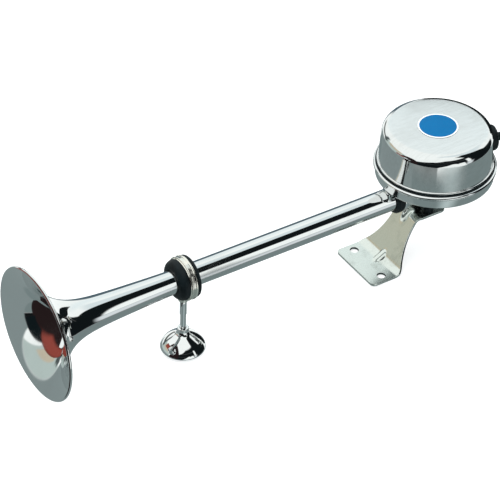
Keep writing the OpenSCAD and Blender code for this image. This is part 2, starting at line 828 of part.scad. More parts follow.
module mount_bushes() {
    color("black") at_drum(tongue_z) for (y = [-bolt_y, bolt_y])
        translate([pad_x, y, 0]) ring(bolt_r + fit, bush_r, mount_h, $fn = 48);
}

module bracket_washers() {
    color("silver") at_drum(tongue_z - sheet_t - washer_h) for (y = [-bolt_y, bolt_y])
        translate([pad_x, y, 0]) ring(bolt_r + fit, bolt_head_r + 0.4, washer_h, $fn = 48);
}

// Low round-headed bolts with a hexagon socket, screwed up into the casting's pad
module bracket_bolts() {
    seat = tongue_z - sheet_t - washer_h;
    color("silver") at_drum() for (y = [-bolt_y, bolt_y]) translate([pad_x, y, seat]) difference() {
        union() {
            translate([0, 0, -bolt_head_h / 2]) cylinder(h = bolt_head_h / 2, r = bolt_head_r, $fn = 48);
            translate([0, 0, -bolt_head_h])
                cylinder(h = bolt_head_h / 2, r1 = bolt_head_r - 1, r2 = bolt_head_r, $fn = 48);
            translate([0, 0, -0.1]) cylinder(h = pad_z + bolt_grip + 0.1 - seat, r = bolt_r, $fn = 32);
        }
        translate([0, 0, -bolt_head_h - 1]) cylinder(h = bolt_head_h, d = socket_w, $fn = 6);
    }
}

// Rubber grommet: a full round flange to the bell, a groove for the ring and a thinner back flange
module grommet() {
    inner = tube_r + run;
    slot = ring_w + 2 * side_run;
    front = slot + grommet_front;
    color("black") along_trumpet(ring_back + side_run) polygon(concat(
        [[inner, -grommet_back]],
        arc([grommet_r - grommet_back / 2, -grommet_back / 2], grommet_back / 2, -90, 90, 12),
        [[groove_r, 0], [groove_r, slot], [grommet_front_r - 0.7, slot], [grommet_front_r, slot + 0.7]],
        arc([grommet_front_r - grommet_round, front - grommet_round], grommet_round, 0, 90, 12),
        [[inner, front]]
    ));
}

// Metal ring: a wide round band, a groove and a thin bead, with a boss for the stud
module support_ring() {
    low = axis_h - ring_r - boss_l;
    band = 0.2 * ring_w;
    bead = 0.08 * ring_w;
    color("gainsboro") difference() {
        union() {
            along_trumpet(ring_back) union() {
                translate([groove_r + run, 0]) square([ring_r - 1.3 - groove_r, ring_w]);
                translate([ring_r - band, band + 0.1]) circle(band, $fn = 48);
                translate([groove_r + run, 0.1]) square([ring_r - band - groove_r, 2 * band]);
                translate([ring_r - 0.3 - bead, ring_w - 0.6 - bead]) circle(bead, $fn = 32);
                translate([groove_r + run, ring_w - 0.6 - 2 * bead])
                    square([ring_r - 0.4 - bead - groove_r, 2 * bead]);
            }
            translate([support_x, 0, low]) cylinder(h = boss_l + 0.2, r = boss_r, $fn = 48);
        }
        translate([support_x, 0, low - 1]) cylinder(h = axis_h - low, r = stud_d / 2 + fit, $fn = 48);
    }
}

module support_stud() {
    top = axis_h - groove_r - run - 0.2;
    color("silver") translate([support_x, 0, stud_low]) cylinder(h = top - stud_low, d = stud_d, $fn = 48);
}

// Foot like a small bell: round rim, hollow flank and a collar, tapped from both ends with a relief between
module front_foot() {
    shoulder = rim_lift + rim_r;
    flank_r = rosette_r - rim_r - neck_d / 2;
    lip = 1.2;
    color("gainsboro") translate([support_x, 0, -foot_drop]) difference() {
        rotate_extrude() polygon(concat(
            [[0, 0], [rosette_r, 0]],
            arc([rosette_r - rim_r, rim_lift], rim_r, 0, 90, 10),
            arc([neck_d / 2 + flank_r, shoulder + flank_r], flank_r, 270, 180, 12),
            arc([neck_d / 2 - lip, rosette_h - lip], lip, 0, 90, 6),
            [[0, rosette_h]]
        ));
        translate([0, 0, -1]) cylinder(h = rosette_h + 2, r = stud_d / 2 + run, $fn = 48);
        translate([0, 0, thread_l]) cylinder(h = relief_h, r = stud_d / 2 + relief_depth, $fn = 48);
        translate([0, 0, -1]) ring(hollow_r, rosette_r - foot_edge, hollow_h + 1);
    }
}

trumpet();
tube_seal();
chamber_casting();
lower_gasket();
diaphragm();
upper_gasket();
motor_frame();
flange_screws();
core();
core_nut();
coil_bobbin();
coil_winding();
armature();
armature_stud();
clamp_washer();
striker_disc();
breaker_block();
breaker_pin();
fixed_contact_bar();
breaker_arm();
adjusting_screw();
adjusting_locknut();
terminal_board();
terminal_screws();
coil_leads();
suppressor();
suppressor_clip();
cover();
cover_crown();
cover_seal();
cover_disc();
cable_boot();
bracket();
mount_bushes();
bracket_bolts();
bracket_washers();
grommet();
support_ring();
support_stud();
front_foot();
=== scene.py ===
"""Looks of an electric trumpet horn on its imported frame: finishes, fine meshes and a studio."""

import logging
import math
from dataclasses import dataclass, field
from enum import Enum
from typing import Any, Optional, Union

import bpy
from mathutils import Matrix, Vector


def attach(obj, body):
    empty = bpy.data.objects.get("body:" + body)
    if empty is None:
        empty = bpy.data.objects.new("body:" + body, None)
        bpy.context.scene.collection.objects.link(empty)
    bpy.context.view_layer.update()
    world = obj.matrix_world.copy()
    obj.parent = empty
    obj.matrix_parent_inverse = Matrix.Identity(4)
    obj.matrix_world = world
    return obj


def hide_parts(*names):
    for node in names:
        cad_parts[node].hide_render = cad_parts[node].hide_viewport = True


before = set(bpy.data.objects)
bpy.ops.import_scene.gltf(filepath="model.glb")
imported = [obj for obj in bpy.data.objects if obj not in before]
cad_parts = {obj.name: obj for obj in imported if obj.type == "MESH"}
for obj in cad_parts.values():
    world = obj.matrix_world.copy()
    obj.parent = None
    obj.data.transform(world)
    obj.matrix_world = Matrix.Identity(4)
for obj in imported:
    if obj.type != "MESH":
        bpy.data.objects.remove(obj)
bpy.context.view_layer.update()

LOG = logging.getLogger("horn")

# One millimetre in metres, then places in the frame, in millimetres.
MM = 0.001
DRUM_X = 58.6  # the drum's upright axis
BOLT_X = DRUM_X - 9  # the two bolts that hold the drum to the bracket
AXIS_H = 57.5  # the tube's axis over the deck
SUPPORT_X = -169.2  # the front support's upright axis
SCREW_Y = 18.5  # each deck screw's distance from the middle
TOP_Z = 111.7  # the cover's flat top

Colour = tuple[float, float, float, float]
Place = tuple[float, float, float]
Profile = list[tuple[float, float]]


class Value:
    """One output of a node tree, with Python's signs for its maths."""

    def __init__(self, tree: "Tree", socket: Optional[bpy.types.NodeSocket]) -> None:
        """Keeps what the value stands for."""
        self.tree = tree
        self.socket = socket

    def __add__(self, other: "Number") -> "Value":
        """Sum of two numbers."""
        return self.tree.maths("ADD", self, other)

    def __radd__(self, other: float) -> "Value":
        """Sum with a plain number in front."""
        return self.tree.maths("ADD", other, self)

    def __sub__(self, other: "Number") -> "Value":
        """Difference of two numbers."""
        return self.tree.maths("SUBTRACT", self, other)

    def __rsub__(self, other: float) -> "Value":
        """Difference from a plain number, as in 1 - mask."""
        return self.tree.maths("SUBTRACT", other, self)

    def __mul__(self, other: "Number") -> "Value":
        """Product of two numbers."""
        return self.tree.maths("MULTIPLY", self, other)

    def __rmul__(self, other: float) -> "Value":
        """Product with a plain number in front."""
        return self.tree.maths("MULTIPLY", other, self)

    def __truediv__(self, other: "Number") -> "Value":
        """Quotient of two numbers."""
        return self.tree.maths("DIVIDE", self, other)

    def __rtruediv__(self, other: float) -> "Value":
        """Quotient with a plain number in front."""
        return self.tree.maths("DIVIDE", other, self)


Number = Union[Value, float]


class Tree:
    """Builds the nodes of a material or of the world."""

    def __init__(self, owner: Union[bpy.types.Material, bpy.types.World]) -> None:
        """Takes the owner's node tree and empties it.

        Args:
            owner: the material or the world.
        """
        owner.use_nodes = True
        self.nodes = owner.node_tree.nodes
        self.links = owner.node_tree.links
        self.nodes.clear()

    def node(
        self,
        kind: str,
        settings: Optional[dict[str, Any]] = None,
        sockets: Optional[dict[Union[str, int], Any]] = None,
        out: Union[str, int] = 0,
    ) -> Value:
        """Adds one node.

        Args:
            kind: the node's type name.
            settings: its properties, set first.
            sockets: values or links of its inputs.
            out: the output that the result stands for.

        Returns:
            The chosen output.
        """
        made = self.nodes.new(kind)
        for name, setting in (settings or {}).items():
            setattr(made, name, setting)
        for name, given in (sockets or {}).items():
            if isinstance(given, Value):
                self.links.new(given.socket, made.inputs[name])
            else:
                made.inputs[name].default_value = given
        return Value(self, made.outputs[out] if made.outputs else None)

    def maths(self, operation: str, first: Number, second: Number = 0.0) -> Value:
        """A Math node on two numbers."""
        return self.node("ShaderNodeMath", {"operation": operation}, {0: first, 1: second})

    def vector(self, operation: str, first: Any, second: Any, out: Union[str, int] = 0) -> Value:
        """A Vector Math node on two vectors."""
        settings = {"operation": operation}
        return self.node("ShaderNodeVectorMath", settings, {0: first, 1: second}, out)

    def blend(self, share: Number, first: Any, second: Any) -> Value:
        """Colour between two colours, the second one where the share is 1."""
        return self.node("ShaderNodeMix", {"data_type": "RGBA"}, {0: share, 6: first, 7: second}, 2)

    def eased(self, value: Value, low: float, high: float) -> Value:
        """Share from 0 to 1 that grows smoothly while a value goes from low to high."""
        sockets = {"Value": value, 1: low, 2: high}
        return self.node("ShaderNodeMapRange", {"interpolation_type": "SMOOTHSTEP"}, sockets)

    def past(self, value: Value, edge: float, half: float) -> Value:
        """Share of a value past an edge that is soft over half its width on each side."""
        return self.eased(value, edge - half, edge + half)

    def within(self, value: Value, low: float, high: float, half: float) -> Value:
        """Share of a value between two such soft edges."""
        return self.past(value, low, half) * (1 - self.past(value, high, half))

    def larger(self, first: Number, second: Number) -> Value:
        """The larger of two numbers."""
        return self.maths("MAXIMUM", first, second)

    def spot(self, centre: Place = (0, 0, 0), stretch: Place = (1, 1, 1)) -> Value:
        """Object coordinates seen from a centre.

        Args:
            centre: the centre, in millimetres.
            stretch: factor of each axis.

        Returns:
            The coordinates, in metres.
        """
        coordinates = self.node("ShaderNodeTexCoord", out="Object")
        moved = self.vector("SUBTRACT", coordinates, tuple(MM * c for c in centre))
        return self.vector("MULTIPLY", moved, stretch)

    def away(self, centre: Place) -> Value:
        """Distance in millimetres from the upright line through a centre."""
        return self.vector("LENGTH", self.spot(centre, (1, 1, 0)), (0, 0, 0), "Value") / MM

    def axis(self, where: Value, name: str) -> Value:
        """One coordinate of a place, by its letter."""
        return self.node("ShaderNodeSeparateXYZ", None, {0: where}, name)

    def noise(self, where: Value, size: float, detail: float, rough: float = 0.5) -> Value:
        """Noise of about 0 to 1.

        Args:
            where: the coordinates that it is read at.
            size: size of its features, in millimetres.
            detail: number of finer layers.
            rough: strength of each finer layer.

        Returns:
            The noise.
        """
        scale = 1.0 / (MM * size)
        sockets = {"Vector": where, "Scale": scale, "Detail": detail, "Roughness": rough}
        return self.node("ShaderNodeTexNoise", None, sockets)

    def bump(self, height: Value, depth: float, strength: float = 1.0) -> Value:
        """Normal that shows a height of 0 to 1 as a depth in millimetres."""
        sockets = {"Height": height, "Distance": MM * depth, "Strength": strength}
        return self.node("ShaderNodeBump", None, sockets)


@dataclass(frozen=True)
class Finish:
    """A surface finish, with the record's slot that it stands for.

    Attributes:
        slot: name of the slot.
        kind: what sets it apart from the slot's other finishes.
    """

    slot: str
    kind: str = field(default="finish", kw_only=True)

    def sockets(self, tree: Tree) -> dict[str, Any]:
        """Values and links of the shader's sockets; each finish gives its own."""
        raise NotImplementedError

    def material(self) -> bpy.types.Material:
        """Makes the finish's material, or finds it again.

        Returns:
            The material.
        """
        name = f"{self.slot}_{self.kind}"
        found = bpy.data.materials.get(name)
        if found:
            return found
        made = bpy.data.materials.new(name)
        tree = Tree(made)
        shader = tree.node("ShaderNodeBsdfPrincipled", None, self.sockets(tree))
        tree.node("ShaderNodeOutputMaterial", None, {"Surface": shader})
        return made


@dataclass(frozen=True)
class Chrome(Finish):
    """Plated metal with fine polish lines, faint smears and a few dull specks.

    Attributes:
        tint: colour of the plating.
        dull: colour of its smears and specks.
        haze: roughness of the clean plating.
        smear: roughness that the smears add.
        wave: depth of the slow waves in the surface, in millimetres.
        brush: how much the brushing under the plating shows.
    """

    tint: Colour = (0.79, 0.80, 0.80, 1.0)
    dull: Colour = (0.50, 0.50, 0.48, 1.0)
    haze: float = 0.05
    smear: float = 0.07
    wave: float = 0.02
    brush: float = 0.0

    def sockets(self, tree: Tree) -> dict[str, Any]:
        """Works out the shader's sockets.

        Args:
            tree: the material's tree.

        Returns:
            The value or link of each socket.
        """
        smears = tree.eased(tree.noise(tree.spot(stretch=(1, 1, 0.6)), 26, 4, 0.6), 0.45, 0.75)
        specks = tree.eased(tree.noise(tree.spot(), 1.6, 2), 0.7, 0.8)
        lines = tree.noise(tree.spot(stretch=(0.35, 1, 1)), 0.5, 2)
        waves = tree.noise(tree.spot(), 24, 1)
        brushing = tree.noise(tree.spot(stretch=(0.08, 0.55, 0.3)), 1.1, 4, 0.65)
        strokes = tree.eased(brushing, 0.35, 0.7)
        dulled = smears * 0.12 + specks * 0.25 + strokes * self.brush
        return {
            "Base Color": tree.blend(dulled, self.tint, self.dull),
            "Metallic": 1.0,
            "Roughness": self.haze + smears * self.smear + specks * 0.1 + lines * 0.02,
            "Normal": tree.bump(waves + lines * 0.004, self.wave),
        }


@dataclass(frozen=True)
class DrumChrome(Chrome):
    """Chrome of the drum, whose flat top is brushed to a satin.

    Attributes:
        low_z: height at which the satin begins, in millimetres.
        high_z: height from which it is full.
        full_r: radius up to which it is full.
        end_r: radius at which it ends.
        satin: roughness that the brushing adds there.
    """

    low_z: float = 109.5
    high_z: float = 111.2
    full_r: float = 35.0
    end_r: float = 39.0
    satin: float = 0.16

    def sockets(self, tree: Tree) -> dict[str, Any]:
        """Works out the shader's sockets.

        Args:
            tree: the material's tree.

        Returns:
            The value or link of each socket.
        """
        found = super().sockets(tree)
        top = tree.eased(tree.axis(tree.spot(), "Z") / MM, self.low_z, self.high_z)
        field_share = (1 - tree.eased(tree.away((DRUM_X, 0, 0)), self.full_r, self.end_r)) * top
        found["Roughness"] = found["Roughness"] + field_share * self.satin
        return found


@dataclass(frozen=True)
class Rubber(Finish):
    """Black moulded rubber with a fine grain and a bloom that dulls it in places.

    Attributes:
        tint: colour of clean rubber.
        bloom: colour of the bloom.
    """

    tint: Colour = (0.001, 0.003, 0.004, 1.0)
    bloom: Colour = (0.003, 0.008, 0.010, 1.0)

    def sockets(self, tree: Tree) -> dict[str, Any]:
        """Works out the shader's sockets.

        Args:
            tree: the material's tree.

        Returns:
            The value or link of each socket.
        """
        grain = tree.noise(tree.spot(), 0.35, 3, 0.6)
        cloud = tree.eased(tree.noise(tree.spot(), 9, 3), 0.35, 0.7)
        return {
            "Base Color": tree.blend(cloud, self.tint, self.bloom),
            "Roughness": 0.38 + cloud * 0.16 + grain * 0.08,
            "Specular IOR Level": 0.22,
            "Normal": tree.bump(grain, 0.02, 0.7),
        }


@dataclass(frozen=True)
class Label(Finish):
    """Plain blue vinyl with a white rim.

    Attributes:
        blue: colour of the field.
        faded: blue that it drifts to.
        white: colour of the rim.
        cut: colour of the vinyl's cut edge.
        field_r: radius of the field, in millimetres.
        rim_r: radius where the vinyl is cut.
    """

    blue: Colour = (0.000, 0.105, 0.28, 1.0)
    faded: Colour = (0.000, 0.130, 0.33, 1.0)
    white: Colour = (0.84, 0.86, 0.86, 1.0)
    cut: Colour = (0.45, 0.47, 0.48, 1.0)
    field_r: float = 14.5
    rim_r: float = 15.55

    def sockets(self, tree: Tree) -> dict[str, Any]:
        """Works out the shader's sockets.

        Args:
            tree: the material's tree.

        Returns:
            The value or link of each socket.
        """
        radius = tree.away((DRUM_X, 0, 0))
        rim = tree.past(radius, self.field_r, 0.06)
        edge = tree.past(radius, self.rim_r, 0.05)
        grain = tree.noise(tree.spot(), 0.25, 2)
        cloud = tree.noise(tree.spot(), 8, 3)
        ringed = tree.blend(rim, tree.blend(cloud, self.blue, self.faded), self.white)
        return {
            "Base Color": tree.blend(edge, ringed, self.cut),
            "Roughness": 0.42 + cloud * 0.12 + grain * 0.06,
            "Specular IOR Level": 0.12,
            "Normal": tree.bump(rim * 0.6 + grain * 0.1, 0.05, 0.6),
        }


@dataclass(frozen=True)
class BrushedSteel(Finish):
    """Rolled stainless sheet with stains; its holes get painted shade inside and a painted
    highlight round them.

    Attributes:
        tint: colour of the sheet.
        stain: colour of its stains.
        rubbed: colour of its lines and rubbed spots.
        rim: colour of the painted highlight round the screw holes.
        bore_shade: colour of the painted shade inside them.
        hole_r: radius of the holes with their chamfer, in millimetres.
    """

    tint: Colour = (0.68, 0.72, 0.68, 1.0)
    stain: Colour = (0.36, 0.39, 0.35, 1.0)
    rubbed: Colour = (0.82, 0.85, 0.81, 1.0)
    # Painted highlight round the screw holes and painted shade in their bores.
    rim: Colour = (0.78, 0.80, 0.76, 1.0)
    bore_shade: Colour = (0.03, 0.04, 0.045, 1.0)
    hole_r: float = 3.5

    def sockets(self, tree: Tree) -> dict[str, Any]:
        """Works out the shader's sockets.

        Args:
            tree: the material's tree.

        Returns:
            The value or link of each socket.
        """
        lines = tree.noise(tree.spot(stretch=(0.05, 1, 0.05)), 0.35, 3, 0.7)
        marks = tree.eased(tree.noise(tree.spot(), 12, 4, 0.6), 0.5, 0.8)
        worn = tree.eased(tree.noise(tree.spot(), 3, 3), 0.55, 0.75)
        toned = tree.blend(marks * 0.6, self.tint, self.stain)
        lined = tree.blend(lines * 0.35 + worn * 0.1, toned, self.rubbed)
        left, right = (tree.away((0, y, 0)) for y in (SCREW_Y, -SCREW_Y))
        near = tree.maths("MINIMUM", left, right)
        # Painted highlight in a ring round each screw hole, and painted shade down its bore.
        ring = 1 - tree.eased(near, self.hole_r + 0.3, self.hole_r + 0.9)
        bore = 1 - tree.eased(near, self.hole_r - 0.05, self.hole_r + 0.1)
        highlighted_rim = tree.blend(ring * 0.7, lined, self.rim)
        return {
            "Base Color": tree.blend(bore * 0.85, highlighted_rim, self.bore_shade),
            "Metallic": 1.0,
            "Roughness": 0.13 + lines * 0.08 + marks * 0.08,
            "Normal": tree.bump(lines, 0.006, 0.6),
        }


@dataclass(frozen=True)
class Metal(Finish):
    """A plain worked metal: two tones that drift into each other, tool marks and rubbed spots.

    Attributes:
        tint: main colour.
        second: colour that it drifts to.
        haze: roughness where it is clean.
        size: size of the drifting patches, in millimetres.
        marks: depth of the tool marks, in millimetres.
    """

    tint: Colour = (0.55, 0.55, 0.56, 1.0)
    second: Colour = (0.38, 0.37, 0.36, 1.0)
    haze: float = 0.22
    size: float = 6.0
    marks: float = 0.01

    def sockets(self, tree: Tree) -> dict[str, Any]:
        """Works out the shader's sockets.

        Args:
            tree: the material's tree.

        Returns:
            The value or link of each socket.
        """
        drift = tree.eased(tree.noise(tree.spot(), self.size, 4, 0.6), 0.35, 0.7)
        tool = tree.noise(tree.spot(stretch=(1, 1, 4)), 0.6, 2)
        rubbed = tree.eased(tree.noise(tree.spot(), 2.2, 3), 0.6, 0.75)
        return {
            "Base Color": tree.blend(drift, self.tint, self.second),
            "Metallic": 1.0 - rubbed * 0.08,
            "Roughness": self.haze + drift * 0.12 + tool * 0.06,
            "Normal": tree.bump(tool, self.marks, 0.5),
        }


@dataclass(frozen=True)
class Moulded(Finish):
    """A board, fibre, plastic or lacquer: two tones, fine layers and a soft shine.

    Attributes:
        tint: main colour.
        second: colour of the layers and flecks.
        haze: roughness.
        layers: stretch of the pattern across the layers.
    """

    tint: Colour = (0.2, 0.1, 0.05, 1.0)
    second: Colour = (0.1, 0.05, 0.02, 1.0)
    haze: float = 0.4
    layers: float = 6.0

    def sockets(self, tree: Tree) -> dict[str, Any]:
        """Works out the shader's sockets.

        Args:
            tree: the material's tree.

        Returns:
            The value or link of each socket.
        """
        layer = tree.noise(tree.spot(stretch=(1, 1, self.layers)), 1.8, 3, 0.6)
        fleck = tree.eased(tree.noise(tree.spot(), 0.5, 2), 0.5, 0.75)
        return {
            "Base Color": tree.blend(layer * 0.6 + fleck * 0.3, self.tint, self.second),
            "Roughness": self.haze + layer * 0.15,
            "Normal": tree.bump(layer + fleck * 0.4, 0.015, 0.5),
        }


@dataclass(frozen=True)
class WireEnamel(Finish):
    """Copper wire under clear red-brown enamel.

    Attributes:
        tint: colour of the enamelled wire.
        second: colour that it drifts to.
    """

    tint: Colour = (0.52, 0.13, 0.045, 1.0)
    second: Colour = (0.34, 0.07, 0.02, 1.0)

    def sockets(self, tree: Tree) -> dict[str, Any]:
        """Works out the shader's sockets.

        Args:
            tree: the material's tree.

        Returns:
            The value or link of each socket.
        """
        drift = tree.noise(tree.spot(stretch=(1, 1, 3)), 2.5, 3)
        return {
            "Base Color": tree.blend(drift, self.tint, self.second),
            "Metallic": 0.85,
            "Roughness": 0.2 + drift * 0.12,
            "Coat Weight": 0.6,
            "Coat Roughness": 0.08,
            "Normal": tree.bump(drift, 0.01, 0.4),
        }


POLISHED = Chrome("chromed_brass", haze=0.035)
NICKEL = (0.84, 0.82, 0.75, 1.0)
SATIN = Chrome("chromed_brass", kind="satin", tint=NICKEL, haze=0.17, smear=0.05, wave=0.004)
CAST_CHROME = Chrome("chromed_casting", haze=0.09, smear=0.06, wave=0.03)
COVER_CHROME = DrumChrome("chromed_cover", haze=0.05, smear=0.05, wave=0.006, brush=0.16)
RUBBER = Rubber("black_rubber")
LABEL = Label("blue_label")
STAINLESS = BrushedSteel("stainless_sheet")
STEEL = Metal("steel")
ZINC = Metal("yellow_zinc", (0.66, 0.50, 0.22, 1.0), (0.52, 0.47, 0.30, 1.0), 0.26, 9.0)
IRON = Metal("soft_iron", (0.24, 0.23, 0.22, 1.0), (0.15, 0.14, 0.13, 1.0), 0.42, 5.0, 0.03)
SPRING = Metal("spring_steel", (0.44, 0.47, 0.50, 1.0), (0.36, 0.36, 0.37, 1.0), 0.18, 14.0)
FIBRE = Moulded("gasket_fibre", (0.22, 0.10, 0.045, 1.0), (0.12, 0.05, 0.02, 1.0), 0.7)
IVORY = Moulded("ivory_plastic", (0.72, 0.66, 0.52, 1.0), (0.64, 0.56, 0.42, 1.0), 0.34, 1.0)
COPPER = WireEnamel("copper_wire")
LAMINATE = Moulded("brown_laminate", (0.16, 0.065, 0.025, 1.0), (0.09, 0.035, 0.014, 1.0), 0.35)
BRASS = Metal("brass", (0.80, 0.60, 0.27, 1.0), (0.62, 0.43, 0.18, 1.0), 0.2, 4.0)
LACQUER = Moulded("tan_lacquer", (0.55, 0.36, 0.17, 1.0), (0.47, 0.29, 0.12, 1.0), 0.22, 1.0)


@dataclass(frozen=True)
class Spindle:
    """A line that pieces are turned about, in millimetres.

    Attributes:
        origin: a point on the line.
        along: direction in which a profile's heights grow.
        out: side of the line that a profile is drawn on.
    """

    origin: Place
    along: Place
    out: Place

    def point(self, radius: float, height: float) -> Vector:
        """Place of a profile's point, in metres."""
        return MM * (Vector(self.origin) + radius * Vector(self.out) + height * Vector(self.along))


class Side(Enum):
    """Ways in which the edges of a copied node are softened."""

    CRISP = 0.0
    SOFT = 0.12
    ROUND = 0.25


def clear_selection() -> None:
    """Leaves edit mode and deselects every object."""
    if bpy.context.object and bpy.context.object.mode != "OBJECT":
        bpy.ops.object.mode_set(mode="OBJECT")
    bpy.ops.object.select_all(action="DESELECT")


def choose(piece: bpy.types.Object) -> None:
    """Makes one piece the only selected and the active one.

    Args:
        piece: the piece.
    """
    clear_selection()
    piece.select_set(True)
    bpy.context.view_layer.objects.active = piece


def added(name: str) -> bpy.types.Object:
    """Names the primitive that was just added.

    Args:
        name: its name.

    Returns:
        The primitive's object.
    """
    piece = bpy.context.object
    piece.name = name
    piece.data.name = name
    return piece


def settle(piece: bpy.types.Object, sharp: float = 35.0) -> bpy.types.Object:
    """Applies a piece's modifiers and place, and shades it smooth.

    Args:
        piece: the piece.
        sharp: angle up to which edges are shaded smooth, in degrees.

    Returns:
        The same piece.
    """
    choose(piece)
    for modifier in list(piece.modifiers):
        bpy.ops.object.modifier_apply(modifier=modifier.name)
    bpy.ops.object.transform_apply(location=True, rotation=True, scale=True)
    bpy.ops.object.shade_smooth_by_angle(angle=math.radians(sharp))
    return piece


def tidy_shell(piece: bpy.types.Object) -> None:
    """Merges doubles, drops loose edges and turns the faces outwards.

    Args:
        piece: the piece, as one or more closed shells.
    """
    choose(piece)
    bpy.ops.object.mode_set(mode="EDIT")
    bpy.ops.mesh.select_all(action="SELECT")
    bpy.ops.mesh.remove_doubles(threshold=2e-6)
    bpy.ops.mesh.delete_loose(use_verts=True, use_edges=True, use_faces=False)
    bpy.ops.mesh.select_all(action="SELECT")
    bpy.ops.mesh.normals_make_consistent(inside=False)
    bpy.ops.object.mode_set(mode="OBJECT")


def soften(
    piece: bpy.types.Object, width: float, segments: int, angle: float = 30.0
) -> bpy.types.BevelModifier:
    """Adds a bevel to a piece's edges.

    Args:
        piece: the piece.
        width: width of the bevel, in millimetres.
        segments: number of faces across it.
        angle: angle from which an edge is bevelled, in degrees.

    Returns:
        The bevel's modifier.
    """
    bevel = piece.modifiers.new("edges", "BEVEL")
    bevel.width = MM * width
    bevel.segments = segments
    bevel.limit_method = "ANGLE"
    bevel.angle_limit = math.radians(angle)
    return bevel


def turned(
    name: str, spindle: Spindle, profile: Profile, steps: int = 128, sharp: float = 35.0
) -> bpy.types.Object:
    """Turns a closed profile into a solid, as on a lathe.

    Args:
        name: the piece's name.
        spindle: the line that it turns about.
        profile: radius and height of each point, in millimetres.
        steps: number of faces round the line.
        sharp: angle up to which edges are shaded smooth, in degrees.

    Returns:
        The finished piece.
    """
    clear_selection()
    bpy.ops.mesh.primitive_circle_add(vertices=len(profile), radius=MM, fill_type="NOTHING")
    piece = added(name)
    for vertex, (radius, height) in zip(piece.data.vertices, profile):
        vertex.co = spindle.point(radius, height)
    bpy.ops.object.mode_set(mode="EDIT")
    bpy.ops.mesh.select_all(action="SELECT")
    bpy.ops.mesh.spin(steps=steps, angle=math.tau, center=spindle.point(0, 0), axis=spindle.along)
    tidy_shell(piece)
    return settle(piece, sharp)


def arc(
    centre: tuple[float, float], radius: float, start: float, end: float, count: int = 8
) -> Profile:
    """Points along an arc.

    Args:
        centre: its centre, in millimetres.
        radius: its radius.
        start: angle of its first point, in degrees.
        end: angle of its last point.
        count: number of steps between them.

    Returns:
        The points.
    """
    points = []
    for i in range(count + 1):
        angle = math.radians(start + (end - start) * i / count)
        points.append((centre[0] + radius * math.cos(angle), centre[1] + radius * math.sin(angle)))
    return points


def eased_corners(corners: list[Place], step: float = 12.0) -> Profile:
    """Closed profile through corners, each with its own radius of easing.

    Args:
        corners: radius, height and easing of each corner, in millimetres.
        step: angle between the points of an eased corner, in degrees.

    Returns:
        The profile's points.
    """
    points: Profile = []
    for i, (radius, height, ease) in enumerate(corners):
        here = Vector((radius, height))
        if ease <= 0:
            points.append((radius, height))
            continue
        back = (Vector(corners[i - 1][:2]) - here).normalized()
        ahead = (Vector(corners[(i + 1) % len(corners)][:2]) - here).normalized()
        half = back.angle(ahead) / 2
        centre = here + (back + ahead).normalized() * (ease / math.sin(half))
        start = here + back * (ease / math.tan(half)) - centre
        end = here + ahead * (ease / math.tan(half)) - centre
        turn = math.atan2(start.x * end.y - start.y * end.x, start.dot(end))
        count = max(2, math.ceil(abs(math.degrees(turn)) / step))
        first = math.degrees(math.atan2(start.y, start.x))
        points += arc((centre.x, centre.y), ease, first, first + math.degrees(turn), count)
    return points


def round_bar(
    name: str, spindle: Spindle, radius: float, low: float, high: float, ease: float
) -> bpy.types.Object:
    """A turned bar with eased ends."""
    corners = [(0, low, 0), (radius, low, ease), (radius, high, ease), (0, high, 0)]
    return turned(name, spindle, eased_corners(corners, 30), 64)


def joined(name: str, parts: list[bpy.types.Object], sharp: float = 35.0) -> bpy.types.Object:
    """Joins several pieces into one.

    Args:
        name: the new piece's name.
        parts: the pieces.
        sharp: angle up to which edges are shaded smooth, in degrees.

    Returns:
        The new piece.
    """
    choose(parts[0])
    for part in parts[1:]:
        part.select_set(True)
    bpy.ops.object.join()
    return settle(added(name), sharp)


def cut_by(piece: bpy.types.Object, cutter: bpy.types.Object) -> None:
    """Cuts a piece with another one, and removes the cutter.

    Args:
        piece: the piece.
        cutter: a closed shell where material goes away.
    """
    choose(piece)
    modifier = piece.modifiers.new("cut", "BOOLEAN")
    modifier.operation = "DIFFERENCE"
    modifier.object = cutter
    bpy.ops.object.modifier_apply(modifier=modifier.name)
    bpy.data.objects.remove(cutter)


def copy_of(node: str, side: Side = Side.SOFT, sharp: float = 30.0) -> bpy.types.Object:
    """A merged and softened copy of a CAD node, for a piece that keeps the node's shape.

    Args:
        node: the CAD node's name.
        side: how its edges are softened.
        sharp: angle up to which edges are shaded smooth, in degrees.

    Returns:
        The finished piece.
    """
    clear_selection()
    piece = bpy.data.objects.new(node + "_dressed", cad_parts[node].data.copy())
    bpy.context.scene.collection.objects.link(piece)
    piece.data.materials.clear()
    choose(piece)
    bpy.ops.object.mode_set(mode="EDIT")
    bpy.ops.mesh.select_all(action="SELECT")
    bpy.ops.mesh.remove_doubles(threshold=1e-6)
    bpy.ops.mesh.dissolve_limited(angle_limit=math.radians(0.6))
    bpy.ops.object.mode_set(mode="OBJECT")
    if side is not Side.CRISP:
        soften(piece, side.value, 2, 40)
    return settle(piece, sharp)


def fit(piece: bpy.types.Object, body: str, nodes: tuple[str, ...], finish: Finish) -> None:
    """Gives a piece its finish and its place in the frame.

    Args:
        piece: the finished piece.
        body: the CAD body that it rides on.
        nodes: the CAD nodes that it stands for.
        finish: its surface finish.
    """
    piece.data.materials.clear()
    piece.data.materials.append(finish.material())
    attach(piece, body)
    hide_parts(*nodes)
    faces = len(piece.data.polygons)
    LOG.info("%s rides on %s with %s, %d faces", piece.name, body, finish.slot, faces)


DRUM = Spindle((DRUM_X, 0, 0), (0, 0, 1), (1, 0, 0))
TUBE = Spindle((0, 0, AXIS_H), (-1, 0, 0), (0, 0, 1))
PILLAR = Spindle((SUPPORT_X, 0, 0), (0, 0, 1), (1, 0, 0))


